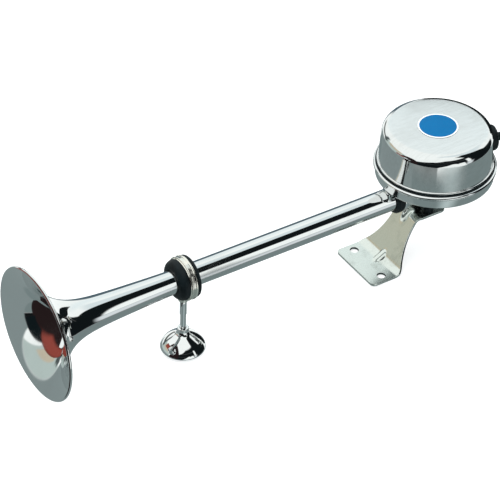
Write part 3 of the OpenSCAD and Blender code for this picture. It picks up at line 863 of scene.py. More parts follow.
@dataclass
class Trumpet:
    """The tube and its flared bell, in millimetres, with lengths ahead of the screw holes.

    Attributes:
        tube_r: outer radius of the tube.
        wall: thickness of the sheet.
        tail: end of the tube inside the drum's socket.
        flare_from: start of the flare.
        flare_l: length of the flare.
        ease: gain in radius of the flare's slow part.
        slow: power of its slow part's curve.
        steep: power of its steep part's curve.
        lip_r: radius of the middle of the rolled rim.
        roll_r: radius of the roll itself.
        stations: number of steps along the flare.
    """

    tube_r: float = 9.2
    wall: float = 0.9
    tail: float = -36.6
    flare_from: float = 181.0
    flare_l: float = 113.6
    ease: float = 5.7
    slow: float = 1.2
    steep: float = 8.0
    lip_r: float = 50.8
    roll_r: float = 1.2
    stations: int = 56

    def radius(self, s: float) -> float:
        """Works out the flare's outer radius.

        Args:
            s: distance from the start of the flare.

        Returns:
            The radius there.
        """
        u = s / self.flare_l
        rest = self.lip_r - self.tube_r - self.ease
        return self.tube_r + self.ease * u**self.slow + rest * u**self.steep

    def slope(self, s: float) -> float:
        """Works out how fast the flare's radius grows.

        Args:
            s: distance from the start of the flare.

        Returns:
            The gain in radius for each millimetre along the axis.
        """
        u = s / self.flare_l
        rest = self.lip_r - self.tube_r - self.ease
        slow = self.slow * self.ease * u ** (self.slow - 1)
        return (slow + self.steep * rest * u ** (self.steep - 1)) / self.flare_l

    def profile(self) -> Profile:
        """Draws the sheet with its rolled rim.

        Returns:
            The profile's points.
        """
        shares = [i / self.stations for i in range(self.stations + 1)]
        stations = [self.flare_l * (1 - (1 - share) ** 1.8) for share in shares]
        outer = [(self.radius(s), self.flare_from + s) for s in stations]
        inner = []
        for s in reversed(stations):
            slope = self.slope(s)
            inset = self.wall / math.hypot(1, slope)
            inner.append((self.radius(s) - inset, self.flare_from + s + inset * slope))
        outer = [point for point in outer if point[0] < self.lip_r - self.roll_r]
        roll = arc((self.lip_r, inner[0][1] - self.roll_r), self.roll_r, -170, 84, 20)
        straight = self.flare_from - self.tail
        start = [(self.tube_r, self.tail + straight * i / 6) for i in range(6)]
        back = [(self.tube_r - self.wall, z) for _, z in reversed(start)]
        return start + outer + roll + inner + back

    def build(self) -> None:
        """Turns the trumpet and dresses it."""
        bell = turned("trumpet_bell", TUBE, self.profile(), 224, 40)
        fit(bell, "horn_body", ("trumpet",), POLISHED)


@dataclass
class Casting:
    """The drum's lower part: beaded dish, skirt, elbow, socket, pad and the seal round the tube.

    Attributes:
        floor_z: height of the chamber's floor.
        floor_t: thickness of the floor.
        throat_r: radius of the throat in the floor.
        recess_r: radius of the recess that holds the diaphragm.
        flange_z: height of the flange's top.
        bead_x: radius of the middle of its bead.
        bead_r: radius of the bead itself.
        skirt_z: height of the skirt's lower edge.
        skirt_r: outer radius of the skirt there.
        dish_r: inner radius of the skirt.
        elbow_r: outer radius of the elbow.
        bend_r: radius of the elbow's bend.
        socket_l: distance from the drum's middle to the socket's mouth.
        socket_r: radius of the socket's bore.
        collar_r: radius of the socket's collar.
        collar_w: width of the collar.
        seal_r: outer radius of the rubber seal before the collar.
        seal_w: width of the seal.
        pad_z: height of the pad's lower face.
        pad: length and width of the pad.
        rib: length, thickness and height of a rib.
        rib_x: distance of a rib's middle from the drum's axis.
    """

    floor_z: float = 75.5
    floor_t: float = 3.0
    throat_r: float = 4.5
    recess_r: float = 35.4
    flange_z: float = 78.5
    bead_x: float = 46.4
    bead_r: float = 1.6
    skirt_z: float = 67.1
    skirt_r: float = 46.0
    dish_r: float = 43.0
    elbow_r: float = 11.0
    bend_r: float = 13.0
    socket_l: float = 34.6
    socket_r: float = 9.25
    collar_r: float = 12.2
    collar_w: float = 2.4
    seal_r: float = 12.2
    seal_w: float = 6.4
    pad_z: float = 45.8
    pad: tuple[float, float] = (18.0, 27.0)
    rib: Place = (32.5, 2.4, 3.6)
    rib_x: float = 27.0

    def dish(self) -> bpy.types.Object:
        """Turns the floor, the skirt and the beaded flange.

        Returns:
            The dish.
        """
        low, high, top = self.floor_z - self.floor_t, self.floor_z, self.flange_z
        lower = eased_corners(
            [
                (self.throat_r, low, 0.8),
                (self.dish_r, low, 2.0),
                (self.dish_r, self.skirt_z, 0.5),
                (self.skirt_r, self.skirt_z, 1.9),
                (self.bead_x + 0.75, top - 3.2, 0.35),
                (self.bead_x + 0.6, top - 3.0, 0),
            ],
            10,
        )[:-1]
        bead = arc((self.bead_x, top - self.bead_r), self.bead_r, -62, 98, 16)
        upper = [
            (self.bead_x - 1.0, top - 0.16),
            (self.bead_x - 1.3, top - 0.04),
            (self.recess_r + 0.2, top),
            (self.recess_r, top - 0.2),
            (self.recess_r, high + 0.4),
            (self.recess_r - 0.4, high),
            (self.throat_r + 0.4, high),
            (self.throat_r, high - 0.4),
        ]
        return turned("dish", DRUM, lower + bead + upper, 192, 30)

    def elbow(self) -> bpy.types.Object:
        """Extrudes and spins the elbow from the socket up to the floor.

        Returns:
            The elbow, open at both ends inside the socket and the floor.
        """
        mouth = DRUM_X - self.socket_l + 1.0
        clear_selection()
        bpy.ops.mesh.primitive_circle_add(
            vertices=72,
            radius=MM * self.elbow_r,
            location=(MM * mouth, 0, MM * AXIS_H),
            rotation=(0, math.pi / 2, 0),
        )
        piece = added("elbow")
        bpy.ops.object.transform_apply(location=True, rotation=True, scale=True)
        straight = DRUM_X - self.bend_r - mouth
        bpy.ops.object.mode_set(mode="EDIT")
        bpy.ops.mesh.select_all(action="SELECT")
        bpy.ops.mesh.extrude_region_move(TRANSFORM_OT_translate={"value": (MM * straight, 0, 0)})
        centre = (MM * (DRUM_X - self.bend_r), 0, MM * (AXIS_H + self.bend_r))
        bpy.ops.mesh.spin(steps=20, angle=math.pi / 2, center=centre, axis=(0, 1, 0))
        rise = self.floor_z - 2 - AXIS_H - self.bend_r
        bpy.ops.mesh.extrude_region_move(TRANSFORM_OT_translate={"value": (0, 0, MM * rise)})
        bpy.ops.object.mode_set(mode="OBJECT")
        tidy_shell(piece)
        return settle(piece, 40)

    def collar(self) -> bpy.types.Object:
        """Turns the socket's collar and its short hub.

        Returns:
            The collar.
        """
        front = self.socket_l - DRUM_X
        back = front - self.collar_w
        corners = [
            (self.socket_r, front, 0.2),
            (self.collar_r, front, 0.45),
            (self.collar_r, back, 0.45),
            (self.elbow_r + 0.02, back - 0.5, 0.5),
            (self.elbow_r + 0.02, back - 3, 0),
            (self.socket_r, back - 3, 0),
        ]
        return turned("collar", TUBE, eased_corners(corners, 15), 96)

    def seat(self) -> bpy.types.Object:
        """Shapes the pad under the elbow, with rounded corners.

        Returns:
            The pad.
        """
        clear_selection()
        place = (MM * BOLT_X, 0, MM * (self.pad_z + AXIS_H) / 2)
        bpy.ops.mesh.primitive_cube_add(size=1, location=place)
        piece = added("pad")
        piece.scale = tuple(MM * length for length in (*self.pad, AXIS_H - self.pad_z))
        settle(piece)
        for edge in piece.data.edges:
            a, b = (piece.data.vertices[i].co for i in edge.vertices)
            edge.select = abs(a.z - b.z) > 1e-4
        choose(piece)
        bpy.ops.object.mode_set(mode="EDIT")
        bpy.ops.mesh.select_mode(type="EDGE")
        bpy.ops.mesh.bevel(offset=MM * 4, segments=8)
        bpy.ops.mesh.select_all(action="DESELECT")
        bpy.ops.object.mode_set(mode="OBJECT")
        soften(piece, 0.6, 3)
        return settle(piece)

    def stiffener(self, turn: float) -> bpy.types.Object:
        """Shapes one rib under the floor.

        Args:
            turn: its direction from the drum's axis, in degrees.

        Returns:
            The rib.
        """
        clear_selection()
        bpy.ops.mesh.primitive_cube_add(size=1)
        piece = added("rib")
        piece.scale = tuple(MM * length for length in self.rib)
        settle(piece)
        soften(piece, 0.5, 2)
        settle(piece)
        height = self.floor_z - self.floor_t - self.rib[2] / 3
        under = Matrix.Translation((MM * DRUM_X, 0, MM * height))
        way = Matrix.Rotation(math.radians(turn), 4, "Z")
        piece.data.transform(under @ way @ Matrix.Translation((MM * self.rib_x, 0, 0)))
        return piece

    def build(self) -> None:
        """Joins the casting's forms and adds the seal."""
        ribs = [self.stiffener(22.5 + 45 * i) for i in range(8)]
        parts = [self.dish(), self.elbow(), self.collar(), self.seat()] + ribs
        fit(joined("sound_casting", parts, 32), "horn_body", ("chamber_casting",), CAST_CHROME)
        back = self.socket_l - DRUM_X
        front = back + self.seal_w
        corners = [
            (self.socket_r - 0.01, front, 0.3),
            (self.seal_r - 1.3, front, 0.4),
            (self.seal_r - 0.9, front - 1.2, 0.6),
            (self.seal_r, front - 1.5, 0.9),
            (self.seal_r, back + 0.35, 0.9),
            (self.seal_r - 1.2, back + 0.02, 0.3),
            (self.socket_r - 0.01, back + 0.02, 0.1),
        ]
        seal = turned("tube_gland", TUBE, eased_corners(corners, 12), 112)
        fit(seal, "horn_body", ("tube_seal",), RUBBER)


@dataclass
class Cover:
    """The drum's cover with its label, its rubber ring and the cable boot.

    Attributes:
        lip_z: height of the cover's lower edge.
        top_z: height of its flat top.
        flat_r: radius up to which the top is flat.
        fall: how much lower the top is at the shoulder.
        lip_r: outer radius at the lip.
        shoulder_r: radius of the shoulder.
        shoulder: radius and height of the middle of the shoulder's arc.
        wall: thickness of the sheet.
        draft: lean of the wall, in degrees.
        boot_z: height of the boot's axis.
        boot_r: radius of the boot's hole.
        boot_turn: direction of the boot seen from above, in degrees.
        label_r: radius of the label.
        label_t: thickness of the label.
        ring_z: heights of the rubber ring's faces.
        ring_r: inner and outer radius of the ring.
    """

    lip_z: float = 79.3
    top_z: float = TOP_Z
    flat_r: float = 16.1
    fall: float = 0.3
    lip_r: float = 44.4
    shoulder_r: float = 8.0
    shoulder: tuple[float, float] = (35.2, 103.4)
    wall: float = 1.2
    draft: float = 2.85
    boot_z: float = 91.9
    boot_r: float = 6.02
    boot_turn: float = -15.0
    label_r: float = 15.7
    label_t: float = 0.4
    ring_z: tuple[float, float] = (78.5, 79.3)
    ring_r: tuple[float, float] = (43.4, 46.2)

    def skin(self, inset: float) -> Profile:
        """Draws one side of the sheet, from the lip to the top's middle.

        Args:
            inset: distance from the outer side, in millimetres.

        Returns:
            The side's points.
        """
        radius = self.shoulder_r - inset
        points = arc(self.shoulder, radius, self.draft, 88, 26)
        edge = self.shoulder[0]
        for i in range(1, 29):
            r = edge * (1 - i / 28)
            fall = self.fall * max(0.0, (r - self.flat_r) / (edge - self.flat_r)) ** 2
            points.append((r, self.top_z - inset - fall))
        return points

    def shell(self) -> bpy.types.Object:
        """Turns the cover and cuts the boot's hole.

        Returns:
            The cover.
        """
        lip = arc((self.lip_r + 0.1, self.lip_z + 1), 1, -90, 112, 14)
        wall_top = (self.lip_r - 0.06, self.lip_z + 2.2)
        inner = [(self.lip_r - self.wall, self.lip_z)]
        outline = lip + [wall_top] + self.skin(0) + list(reversed(self.skin(self.wall))) + inner
        piece = turned("cover_shell", DRUM, outline, 224, 35)
        hole = round_bar("hole", self.boot_spindle(), self.boot_r, 36, 60, 0.2)
        cut_by(piece, hole)
        return settle(piece, 32)

    def boot_spindle(self) -> Spindle:
        """The line of the cable boot, with lengths from the drum's axis."""
        turn = math.radians(self.boot_turn)
        return Spindle((DRUM_X, 0, self.boot_z), (math.cos(turn), math.sin(turn), 0), (0, 0, 1))

    def build(self) -> None:
        """Builds and dresses the cover and what it carries."""
        fit(self.shell(), "cover_shell", ("cover", "cover_crown"), COVER_CHROME)
        low, high, edge = self.top_z, self.top_z + self.label_t, self.label_r
        corners = [(0, low, 0), (edge, low, 0.05), (edge, high, 0.2), (0, high, 0)]
        disc = turned("round_label", DRUM, eased_corners(corners, 30), 128)
        fit(disc, "cover_shell", ("cover_disc",), LABEL)
        (low, high), (inner, outer) = self.ring_z, self.ring_r
        corners = [(inner, low, 0.1), (outer, low, 0.2), (outer + 0.2, high - 0.2, 0.15)]
        corners += [(outer, high, 0.1), (inner, high, 0.1)]
        ring = turned("cover_ring", DRUM, eased_corners(corners, 30), 160)
        fit(ring, "horn_body", ("cover_seal",), RUBBER)
        fit(copy_of("cable_boot", Side.SOFT), "cover_shell", ("cable_boot",), RUBBER)


def soft_max(first: float, second: float, ease: float = 0.8) -> float:
    """The larger of two lengths, with an eased change between them."""
    return max(first, second) + max(0.0, ease - abs(first - second)) ** 2 / (4 * ease)


@dataclass
class Bracket:
    """The rear bracket, bent and pressed from one sheet, with its bolts and rubber bushes.

    Attributes:
        sheet_t: thickness of the sheet.
        foot_w: width of the foot.
        foot_ease: radius of the foot's corners.
        front: distance from the screw holes to the foot's front edge.
        foot_back: distance from the screw holes to the lower bend.
        low_r: radius of the lower bend at the middle of the sheet.
        top_r: radius of the upper bend at the middle of the sheet.
        lean: lean of the upright from the vertical, in degrees.
        tongue_z: height of the tongue's top.
        tongue_end: distance from the screw holes to the tongue's end.
        tongue_w: width of the tongue.
        tongue_ease: radius of the tongue's corners.
        waist: width of the upright's waist.
        waist_drop: distance of the waist below the tongue's top.
        waist_cut_r: radius of the upright's hollow sides.
        dart_r: radius of the pressed darts.
        rib_l: reach of the lower dart from the bend's corner.
        dent_l: reach of the upper dart down the upright and along the tongue.
        screw_r: radius of the screw holes.
        bolt_r: radius of the bolt holes.
        bolt_y: distance of a bolt hole from the middle.
        chamfer: width of the holes' chamfers.
        columns: number of faces across the sheet.
    """

    sheet_t: float = 2.0
    foot_w: float = 51.0
    foot_ease: float = 4.0
    front: float = 12.7
    foot_back: float = 7.4
    low_r: float = 10.0
    top_r: float = 5.0
    lean: float = 31.6
    tongue_z: float = 38.8
    tongue_end: float = 63.6
    tongue_w: float = 26.6
    tongue_ease: float = 5.0
    waist: float = 25.4
    waist_drop: float = 5.0
    waist_cut_r: float = 45.0
    dart_r: float = 4.8
    rib_l: float = 7.2
    dent_l: tuple[float, float] = (9.0, 5.0)
    screw_r: float = 3.25
    bolt_r: float = 2.7
    bolt_y: float = 7.0
    chamfer: float = 0.3
    columns: int = 108

    def __post_init__(self) -> None:
        """Works out the path's corners."""
        lean = math.radians(self.lean)
        self.up = Vector((math.sin(lean), 0, math.cos(lean)))
        self.middle = self.tongue_z - self.sheet_t / 2
        self.low_centre = Vector((self.foot_back, 0, self.sheet_t / 2 + self.low_r))
        self.low_end = self.low_centre + self.low_r * Vector((math.cos(lean), 0, -math.sin(lean)))
        rise = self.middle - self.top_r * (1 - math.sin(lean)) - self.low_end.z
        self.upright_l = rise / math.cos(lean)
        bend_x = (self.low_end + self.upright_l * self.up).x
        bend_x += self.top_r * math.cos(lean)
        self.top_centre = Vector((bend_x, 0, self.middle - self.top_r))

    def half_width(self, x: float, z: float) -> float:
        """Works out how wide the sheet is.

        Args:
            x: distance of a point of its path behind the screw holes.
            z: height of that point.

        Returns:
            Half the sheet's width there.
        """
        if x <= self.foot_back:
            half, ease, inside = self.foot_w / 2, self.foot_ease, x + self.front
        elif x >= self.top_centre.x:
            half, ease, inside = self.tongue_w / 2, self.tongue_ease, self.tongue_end - x
        else:
            rise = abs(z - (self.tongue_z - self.waist_drop))
            cut = self.waist_cut_r - math.sqrt(self.waist_cut_r**2 - rise**2)
            return min(self.foot_w / 2, self.waist / 2 + cut)
        near = min(ease, max(0.0, ease - inside))
        return half - ease + math.sqrt(ease * ease - near * near)

    def run(self, direction: Vector, steps: list[float]) -> None:
        """Extrudes the selected edge.

        Args:
            direction: the way that it goes.
            steps: length of each step, in millimetres.
        """
        for step in steps:
            value = tuple(MM * step * direction)
            bpy.ops.mesh.extrude_region_move(TRANSFORM_OT_translate={"value": value})

    def bend(self, centre: Vector, turn: float, steps: int) -> None:
        """Spins the selected edge about a centre, by a positive angle for a bend upwards."""
        bpy.ops.mesh.spin(steps=steps, angle=turn, center=tuple(MM * centre), axis=(0, 1, 0))

    def sheet(self) -> bpy.types.Object:
        """Extrudes and bends the middle of the sheet, and pulls its sides in.

        Returns:
            The sheet, still without its thickness.
        """
        clear_selection()
        first = 0.25
        place = (MM * (first / 2 - self.front), 0, MM * self.sheet_t / 2)
        bpy.ops.mesh.primitive_grid_add(
            x_subdivisions=1, y_subdivisions=self.columns, size=1, location=place
        )
        piece = added("bent_bracket")
        piece.scale = (MM * first, MM * self.foot_w, 1)
        settle(piece)
        mesh = piece.data
        for face in mesh.polygons:
            face.select = False
        for vertex in mesh.vertices:
            vertex.select = vertex.co.x > MM * (first / 2 - self.front)
        for edge in mesh.edges:
            edge.select = all(mesh.vertices[i].select for i in edge.vertices)
        choose(piece)
        bpy.ops.object.mode_set(mode="EDIT")
        ahead = Vector((1, 0, 0))
        flat = self.foot_back + self.front - self.foot_ease
        self.run(ahead, [0.35, 0.5, 0.7, 0.9, 1.3] + [flat / 12] * 12)
        turn = math.radians(90 - self.lean)
        self.bend(self.low_centre, turn, 22)
        self.run(self.up, [self.upright_l / 36] * 36)
        self.bend(self.top_centre, -turn, 14)
        flat = self.tongue_end - self.top_centre.x - self.tongue_ease
        self.run(ahead, [flat / 14] * 14 + [1.7, 1.2, 0.9, 0.6, 0.4, 0.2])
        bpy.ops.object.mode_set(mode="OBJECT")
        for vertex in mesh.vertices:
            half = self.half_width(vertex.co.x / MM, vertex.co.z / MM)
            vertex.co.y *= half / (self.foot_w / 2)
        tidy_shell(piece)
        return piece

    def press_darts(self, piece: bpy.types.Object) -> None:
        """Presses the rib into the lower bend and the dent into the upper one.

        Args:
            piece: the bent sheet.
        """
        ahead = Vector((1, 0, 0))
        edge = self.low_end + self.sheet_t / 2 * Vector((-self.up.z, 0, self.up.x))
        low = edge + (self.sheet_t - edge.z) / self.up.z * self.up
        top = edge + (self.tongue_z - edge.z) / self.up.z * self.up
        rib = (low - self.rib_l * ahead, low + self.rib_l * self.up, self.dart_r - 1, 1)
        down, along = self.dent_l
        dent = (top - down * self.up, top + along * ahead, self.dart_r, -1)
        for start, end, radius, way in (rib, dent):
            line = (end - start).normalized()
            normal = Vector((-line.z, 0, line.x))
            axis = start - (way * radius + 1) * normal
            for vertex in piece.data.vertices:
                y = vertex.co.y / MM
                flat = Vector((vertex.co.x / MM, 0, vertex.co.z / MM))
                if abs(y) < radius and (flat - start).dot(flat - end) < 40:
                    height = (flat - axis).dot(normal)
                    pressed = way * soft_max(way * height, math.sqrt(radius * radius - y * y))
                    vertex.co += MM * (pressed - height) * normal

    def hole(self, x: float, y: float, z: float, radius: float) -> bpy.types.Object:
        """Turns the cutter of one hole, with a small chamfer at both faces.

        Args:
            x: distance of the hole behind the screw holes, in millimetres.
            y: its distance from the middle.
            z: height of the sheet's upper face there.
            radius: radius of the hole.

        Returns:
            The cutter.
        """
        top, low = z + 0.01, z - self.sheet_t - 0.01
        wide = radius + self.chamfer
        profile = [
            (0, low - 1),
            (wide, low - 1),
            (wide, low),
            (radius, low + self.chamfer),
            (radius, top - self.chamfer),
            (wide, top),
            (wide, top + 1),
            (0, top + 1),
        ]
        return turned("hole", Spindle((x, y, 0), (0, 0, 1), (1, 0, 0)), profile, 64)

    def build(self) -> None:
        """Gives the sheet its thickness, eases its edges, drills it and adds its fasteners."""
        piece = self.sheet()
        self.press_darts(piece)
        wall = piece.modifiers.new("wall", "SOLIDIFY")
        wall.thickness = MM * self.sheet_t
        wall.offset = 0
        wall.use_even_offset = True
        soften(piece, 0.3, 3, 60).use_clamp_overlap = False
        settle(piece)
        screws = (0.0, SCREW_Y, self.sheet_t, self.screw_r)
        bolts = (BOLT_X, self.bolt_y, self.tongue_z, self.bolt_r)
        for x, half, z, radius in (screws, bolts):
            for y in (half, -half):
                cut_by(piece, self.hole(x, y, z, radius))
        fit(settle(piece, 30), "horn_body", ("bracket",), STAINLESS)
        fit(copy_of("mount_bushes", Side.ROUND), "horn_body", ("mount_bushes",), RUBBER)
        fit(copy_of("bracket_washers", Side.SOFT), "horn_body", ("bracket_washers",), STEEL)
        fit(copy_of("bracket_bolts", Side.ROUND), "horn_body", ("bracket_bolts",), STEEL)


@dataclass
class FrontSupport:
    """The grommet on the tube, its metal ring, the stud and the foot.

    Attributes:
        ring_back: distance of the ring's rear face ahead of the screw holes.
        ring_w: width of the ring.
        ring_r: outer radius of the ring.
        groove_r: radius of the grommet's groove.
        grommet_r: radius of the grommet's thin flange.
        front_r: radius of its thick flange.
        stud_r: radius of the stud in the ring's boss.
        rod_r: radius of its lower rod.
        sleeve_r: radius of its upper sleeve.
        sleeve_z: height of the sleeve's lower end.
        stud_low: height of the stud's lower end.
        boss_r: radius of the ring's boss.
        boss_h: length of the boss below the ring.
        foot_z: height of the foot's base.
        foot_h: height of the foot.
        foot_r: radius of the foot.
        rim_h: height at which it is widest.
        cone_h: height of its flank over that, if it ended in a point.
        fullness: power of the flank's curve, where 1 is a straight cone.
        neck_r: radius of its collar.
        bore_r: radius of its thread's bore.
        core_r: radius of the flat round the bore, below.
        hollow_r: radius of the hollow round that.
        hollow_h: depth of the hollow.
    """

    ring_back: float = 166.05
    ring_w: float = 6.3
    ring_r: float = 17.5
    groove_r: float = 13.8
    grommet_r: float = 16.7
    front_r: float = 16.2
    stud_r: float = 2.4
    rod_r: float = 2.25
    sleeve_r: float = 2.65
    sleeve_z: float = 23.1
    stud_low: float = 2.9
    boss_r: float = 4.0
    boss_h: float = 3.5
    foot_z: float = -9.1
    foot_h: float = 19.0
    foot_r: float = 17.2
    rim_h: float = 0.9
    cone_h: float = 15.9
    fullness: float = 0.58
    neck_r: float = 4.5
    bore_r: float = 2.45
    core_r: float = 6.0
    hollow_r: float = 14.4
    hollow_h: float = 1.2

    def boss_z(self) -> float:
        """Height of the boss's lower end."""
        return AXIS_H - self.ring_r - self.boss_h

    def grommet(self) -> bpy.types.Object:
        """Turns the rubber grommet.

        Returns:
            The grommet.
        """
        rear = self.ring_back - 0.1
        front = rear + self.ring_w + 0.2
        end = front + 6.8
        outline = [(9.3, rear - 2.9), (9.6, rear - 3)]
        outline += arc((self.grommet_r - 1.5, rear - 1.5), 1.5, -90, 90, 14)
        outline += [(self.groove_r, rear), (self.groove_r, front), (self.front_r - 0.7, front)]
        outline += arc((self.front_r - 0.7, front + 0.7), 0.7, -80, 0, 5)
        outline += arc((self.front_r - 6.2, end - 6.2), 6.2, 4, 90, 16)
        outline += [(9.7, end), (9.3, end - 0.4)]
        return turned("tube_grommet", TUBE, outline, 144, 35)

    def ring(self) -> bpy.types.Object:
        """Turns the metal ring, with a wide and a narrow bead, and its boss.

        Returns:
            The ring with its boss.
        """
        low, high, outer = self.ring_back, self.ring_back + self.ring_w, self.ring_r
        outline = [(self.groove_r + 0.05, low + 0.2), (self.groove_r + 0.25, low)]
        outline += [(outer - 1.9, low + 0.04)]
        outline += arc((outer - 1.26, low + 1.36), 1.26, -80, 55, 12)
        outline += [(outer - 0.55, low + 2.6), (outer - 0.6, low + 4.3)]
        outline += arc((outer - 0.8, low + 5.1), 0.6, -70, 130, 12)
        outline += [(outer - 1.35, high - 0.25), (outer - 1.6, high)]
        outline += [(self.groove_r + 0.25, high), (self.groove_r + 0.05, high - 0.2)]
        band = turned("band", TUBE, outline, 144, 40)
        bottom, bore = self.boss_z(), self.stud_r + 0.02
        corners = [(bore, bottom, 0.15), (self.boss_r, bottom, 0.5)]
        corners += [(self.boss_r, bottom + 3.2, 1.2), (self.boss_r + 0.9, bottom + 4.6, 0)]
        corners += [(bore, bottom + 4.6, 0)]
        boss = turned("boss", PILLAR, eased_corners(corners, 15), 64)
        return joined("support_band", [band, boss], 40)

    def stud(self) -> bpy.types.Object:
        """Turns the stud: a rod with a sleeve below the ring's boss.

        Returns:
            The stud.
        """
        boss = self.boss_z()
        top = AXIS_H - self.groove_r - 0.25
        corners = [
            (0, self.stud_low, 0),
            (self.rod_r, self.stud_low, 0.4),
            (self.rod_r, self.sleeve_z, 0),
            (self.sleeve_r, self.sleeve_z, 0.15),
            (self.sleeve_r, boss - 0.05, 0.1),
            (self.stud_r, boss - 0.05, 0),
            (self.stud_r, top, 0.3),
            (0, top, 0),
        ]
        return turned("stud", PILLAR, eased_corners(corners, 30), 64)

    def foot(self) -> bpy.types.Object:
        """Turns the foot: a rolled base, a rounded cone and a flared collar.

        Returns:
            The foot.
        """
        base, top = self.foot_z, self.foot_z + self.foot_h
        wide, hollow = base + self.rim_h, base + self.hollow_h
        outline = [(self.bore_r, base + 0.1), (self.bore_r + 0.15, base), (self.core_r, base)]
        outline += [(self.core_r + 0.1, hollow), (self.hollow_r, hollow)]
        outline += [(self.hollow_r + 0.2, base + 0.1)]
        outline += arc((self.foot_r - self.rim_h, wide), self.rim_h, -85, 0, 8)
        flare_r = self.neck_r + 1.7
        for i in range(1, 41):
            r = self.foot_r - (self.foot_r - flare_r) * (i / 40) ** 2
            outline.append((r, wide + self.cone_h * (1 - r / self.foot_r) ** self.fullness))
        last_z = outline[-1][1]
        for i in range(1, 9):
            u = i / 8
            bend = last_z + (flare_r - self.neck_r) * 0.8
            z = (1 - u) ** 2 * last_z + 2 * u * (1 - u) * bend + u * u * (top - 2.2)
            outline.append((self.neck_r + (flare_r - self.neck_r) * (1 - u) ** 2, z))
        outline += arc((self.neck_r - 0.6, top - 0.6), 0.6, 0, 90, 5)
        outline += [(self.bore_r + 0.25, top), (self.bore_r, top - 0.2)]
        return turned("round_foot", PILLAR, outline, 144, 32)

    def build(self) -> None:
        """Builds and dresses the support."""
        fit(self.grommet(), "tube_grommet", ("grommet",), RUBBER)
        fit(self.ring(), "front_support", ("support_ring",), SATIN)
        fit(self.stud(), "front_support", ("support_stud",), POLISHED)
        fit(self.foot(), "foot", ("front_foot",), POLISHED)


@dataclass
class PowerUnit:
    """What is under the cover: diaphragm stack, magnet, breaker, terminals and suppressor.

    Attributes:
        low: height of the winding's lower end.
        high: height of its upper end.
        inner_r: inner radius of the winding.
        outer_r: outer radius of the winding.
        wire_r: radius of the wire.
    """

    low: float = 90.7
    high: float = 98.5
    inner_r: float = 9.84
    outer_r: float = 19.0
    wire_r: float = 0.3

    def winding(self) -> bpy.types.Object:
        """Turns the coil with a ridge for each turn of wire.

        Returns:
            The winding.
        """
        turns = int((self.high - self.low) / (2 * self.wire_r))
        pitch = (self.high - self.low) / turns
        outline: Profile = [(self.inner_r, self.high), (self.inner_r, self.low)]
        for i in range(turns):
            centre = (self.outer_r - pitch / 2, self.low + pitch * (i + 0.5))
            outline += arc(centre, pitch / 2, -80, 80, 6)
        return turned("wound_coil", DRUM, outline, 96, 60)

    def build(self) -> None:
        """Dresses the unit's parts, which keep their solids' shapes."""
        body = "horn_body"
        fit(self.winding(), body, ("coil_winding",), COPPER)
        kept = (
            ("lower_gasket", body, FIBRE, Side.CRISP),
            ("upper_gasket", body, FIBRE, Side.CRISP),
            ("diaphragm", body, SPRING, Side.CRISP),
            ("motor_frame", body, ZINC, Side.SOFT),
            ("flange_screws", body, STEEL, Side.SOFT),
            ("core", body, IRON, Side.SOFT),
            ("core_nut", body, ZINC, Side.ROUND),
            ("coil_bobbin", body, IVORY, Side.SOFT),
            ("armature", "armature_group", IRON, Side.ROUND),
            ("armature_stud", "armature_group", STEEL, Side.SOFT),
            ("clamp_washer", "armature_group", STEEL, Side.SOFT),
            ("striker_disc", "armature_group", SPRING, Side.SOFT),
            ("breaker_block", body, LAMINATE, Side.SOFT),
            ("breaker_pin", body, STEEL, Side.SOFT),
            ("fixed_contact_bar", body, BRASS, Side.SOFT),
            ("breaker_arm", "breaker_lever", BRASS, Side.SOFT),
            ("adjusting_screw", "adjuster", STEEL, Side.SOFT),
            ("adjusting_locknut", body, ZINC, Side.ROUND),
            ("terminal_board", body, LAMINATE, Side.ROUND),
            ("terminal_screws", body, BRASS, Side.SOFT),
            ("coil_leads", body, COPPER, Side.CRISP),
            ("suppressor", body, LACQUER, Side.ROUND),
            ("suppressor_clip", body, STEEL, Side.SOFT),
        )
        for node, rides_on, finish, side in kept:
            fit(copy_of(node, side), rides_on, (node,), finish)


@dataclass(frozen=True)
class Softbox:
    """One soft light of the studio.

    Attributes:
        place: its middle, in metres.
        target: the point that it faces.
        size: its width and height.
        power: its power in watts.
    """

    place: Place
    target: Place
    size: tuple[float, float]
    power: float

    def build(self, name: str) -> None:
        """Adds the light to the scene.

        Args:
            name: the light's name.
        """
        clear_selection()
        bpy.ops.object.light_add(type="AREA", location=self.place)
        light = bpy.context.object
        light.name = name
        light.data.shape = "RECTANGLE"
        light.data.size, light.data.size_y = self.size
        light.data.energy = self.power
        way = Vector(self.target) - Vector(self.place)
        light.rotation_euler = way.to_track_quat("-Z", "Y").to_euler()
        light.visible_glossy = False


@dataclass(frozen=True)
class Patch:
    """One patch of the studio's walls as the horn sees it, with angles in degrees.

    Attributes:
        tone: its colour.
        turn: direction of its middle, from +X towards +Y.
        low: height of its lower edge over the horizon.
        high: height of its upper edge.
        half_low: half its width at the lower edge.
        half_high: half its width at the upper edge.
        soft: half the width of its soft edge.
    """

    tone: Place
    turn: float
    low: float
    high: float
    half_low: float
    half_high: float
    soft: float

    def share(self, tree: Tree, turn: Value, rise: Value) -> Value:
        """How far a direction lies in the patch, from 0 to 1.

        Args:
            tree: the world's tree.
            turn: the direction's angle round the vertical.
            rise: its height over the horizon.

        Returns:
            The share.
        """
        away = tree.maths("WRAP", turn - self.turn, 180.0)
        away.socket.node.inputs[2].default_value = -180.0
        sockets = {"Value": rise, 1: self.low, 2: self.high, 3: self.half_low, 4: self.half_high}
        grown = tree.node("ShaderNodeMapRange", None, sockets)
        across = tree.past(grown - tree.maths("ABSOLUTE", away), 0.0, self.soft)
        return across * tree.within(rise, self.low, self.high, self.soft)


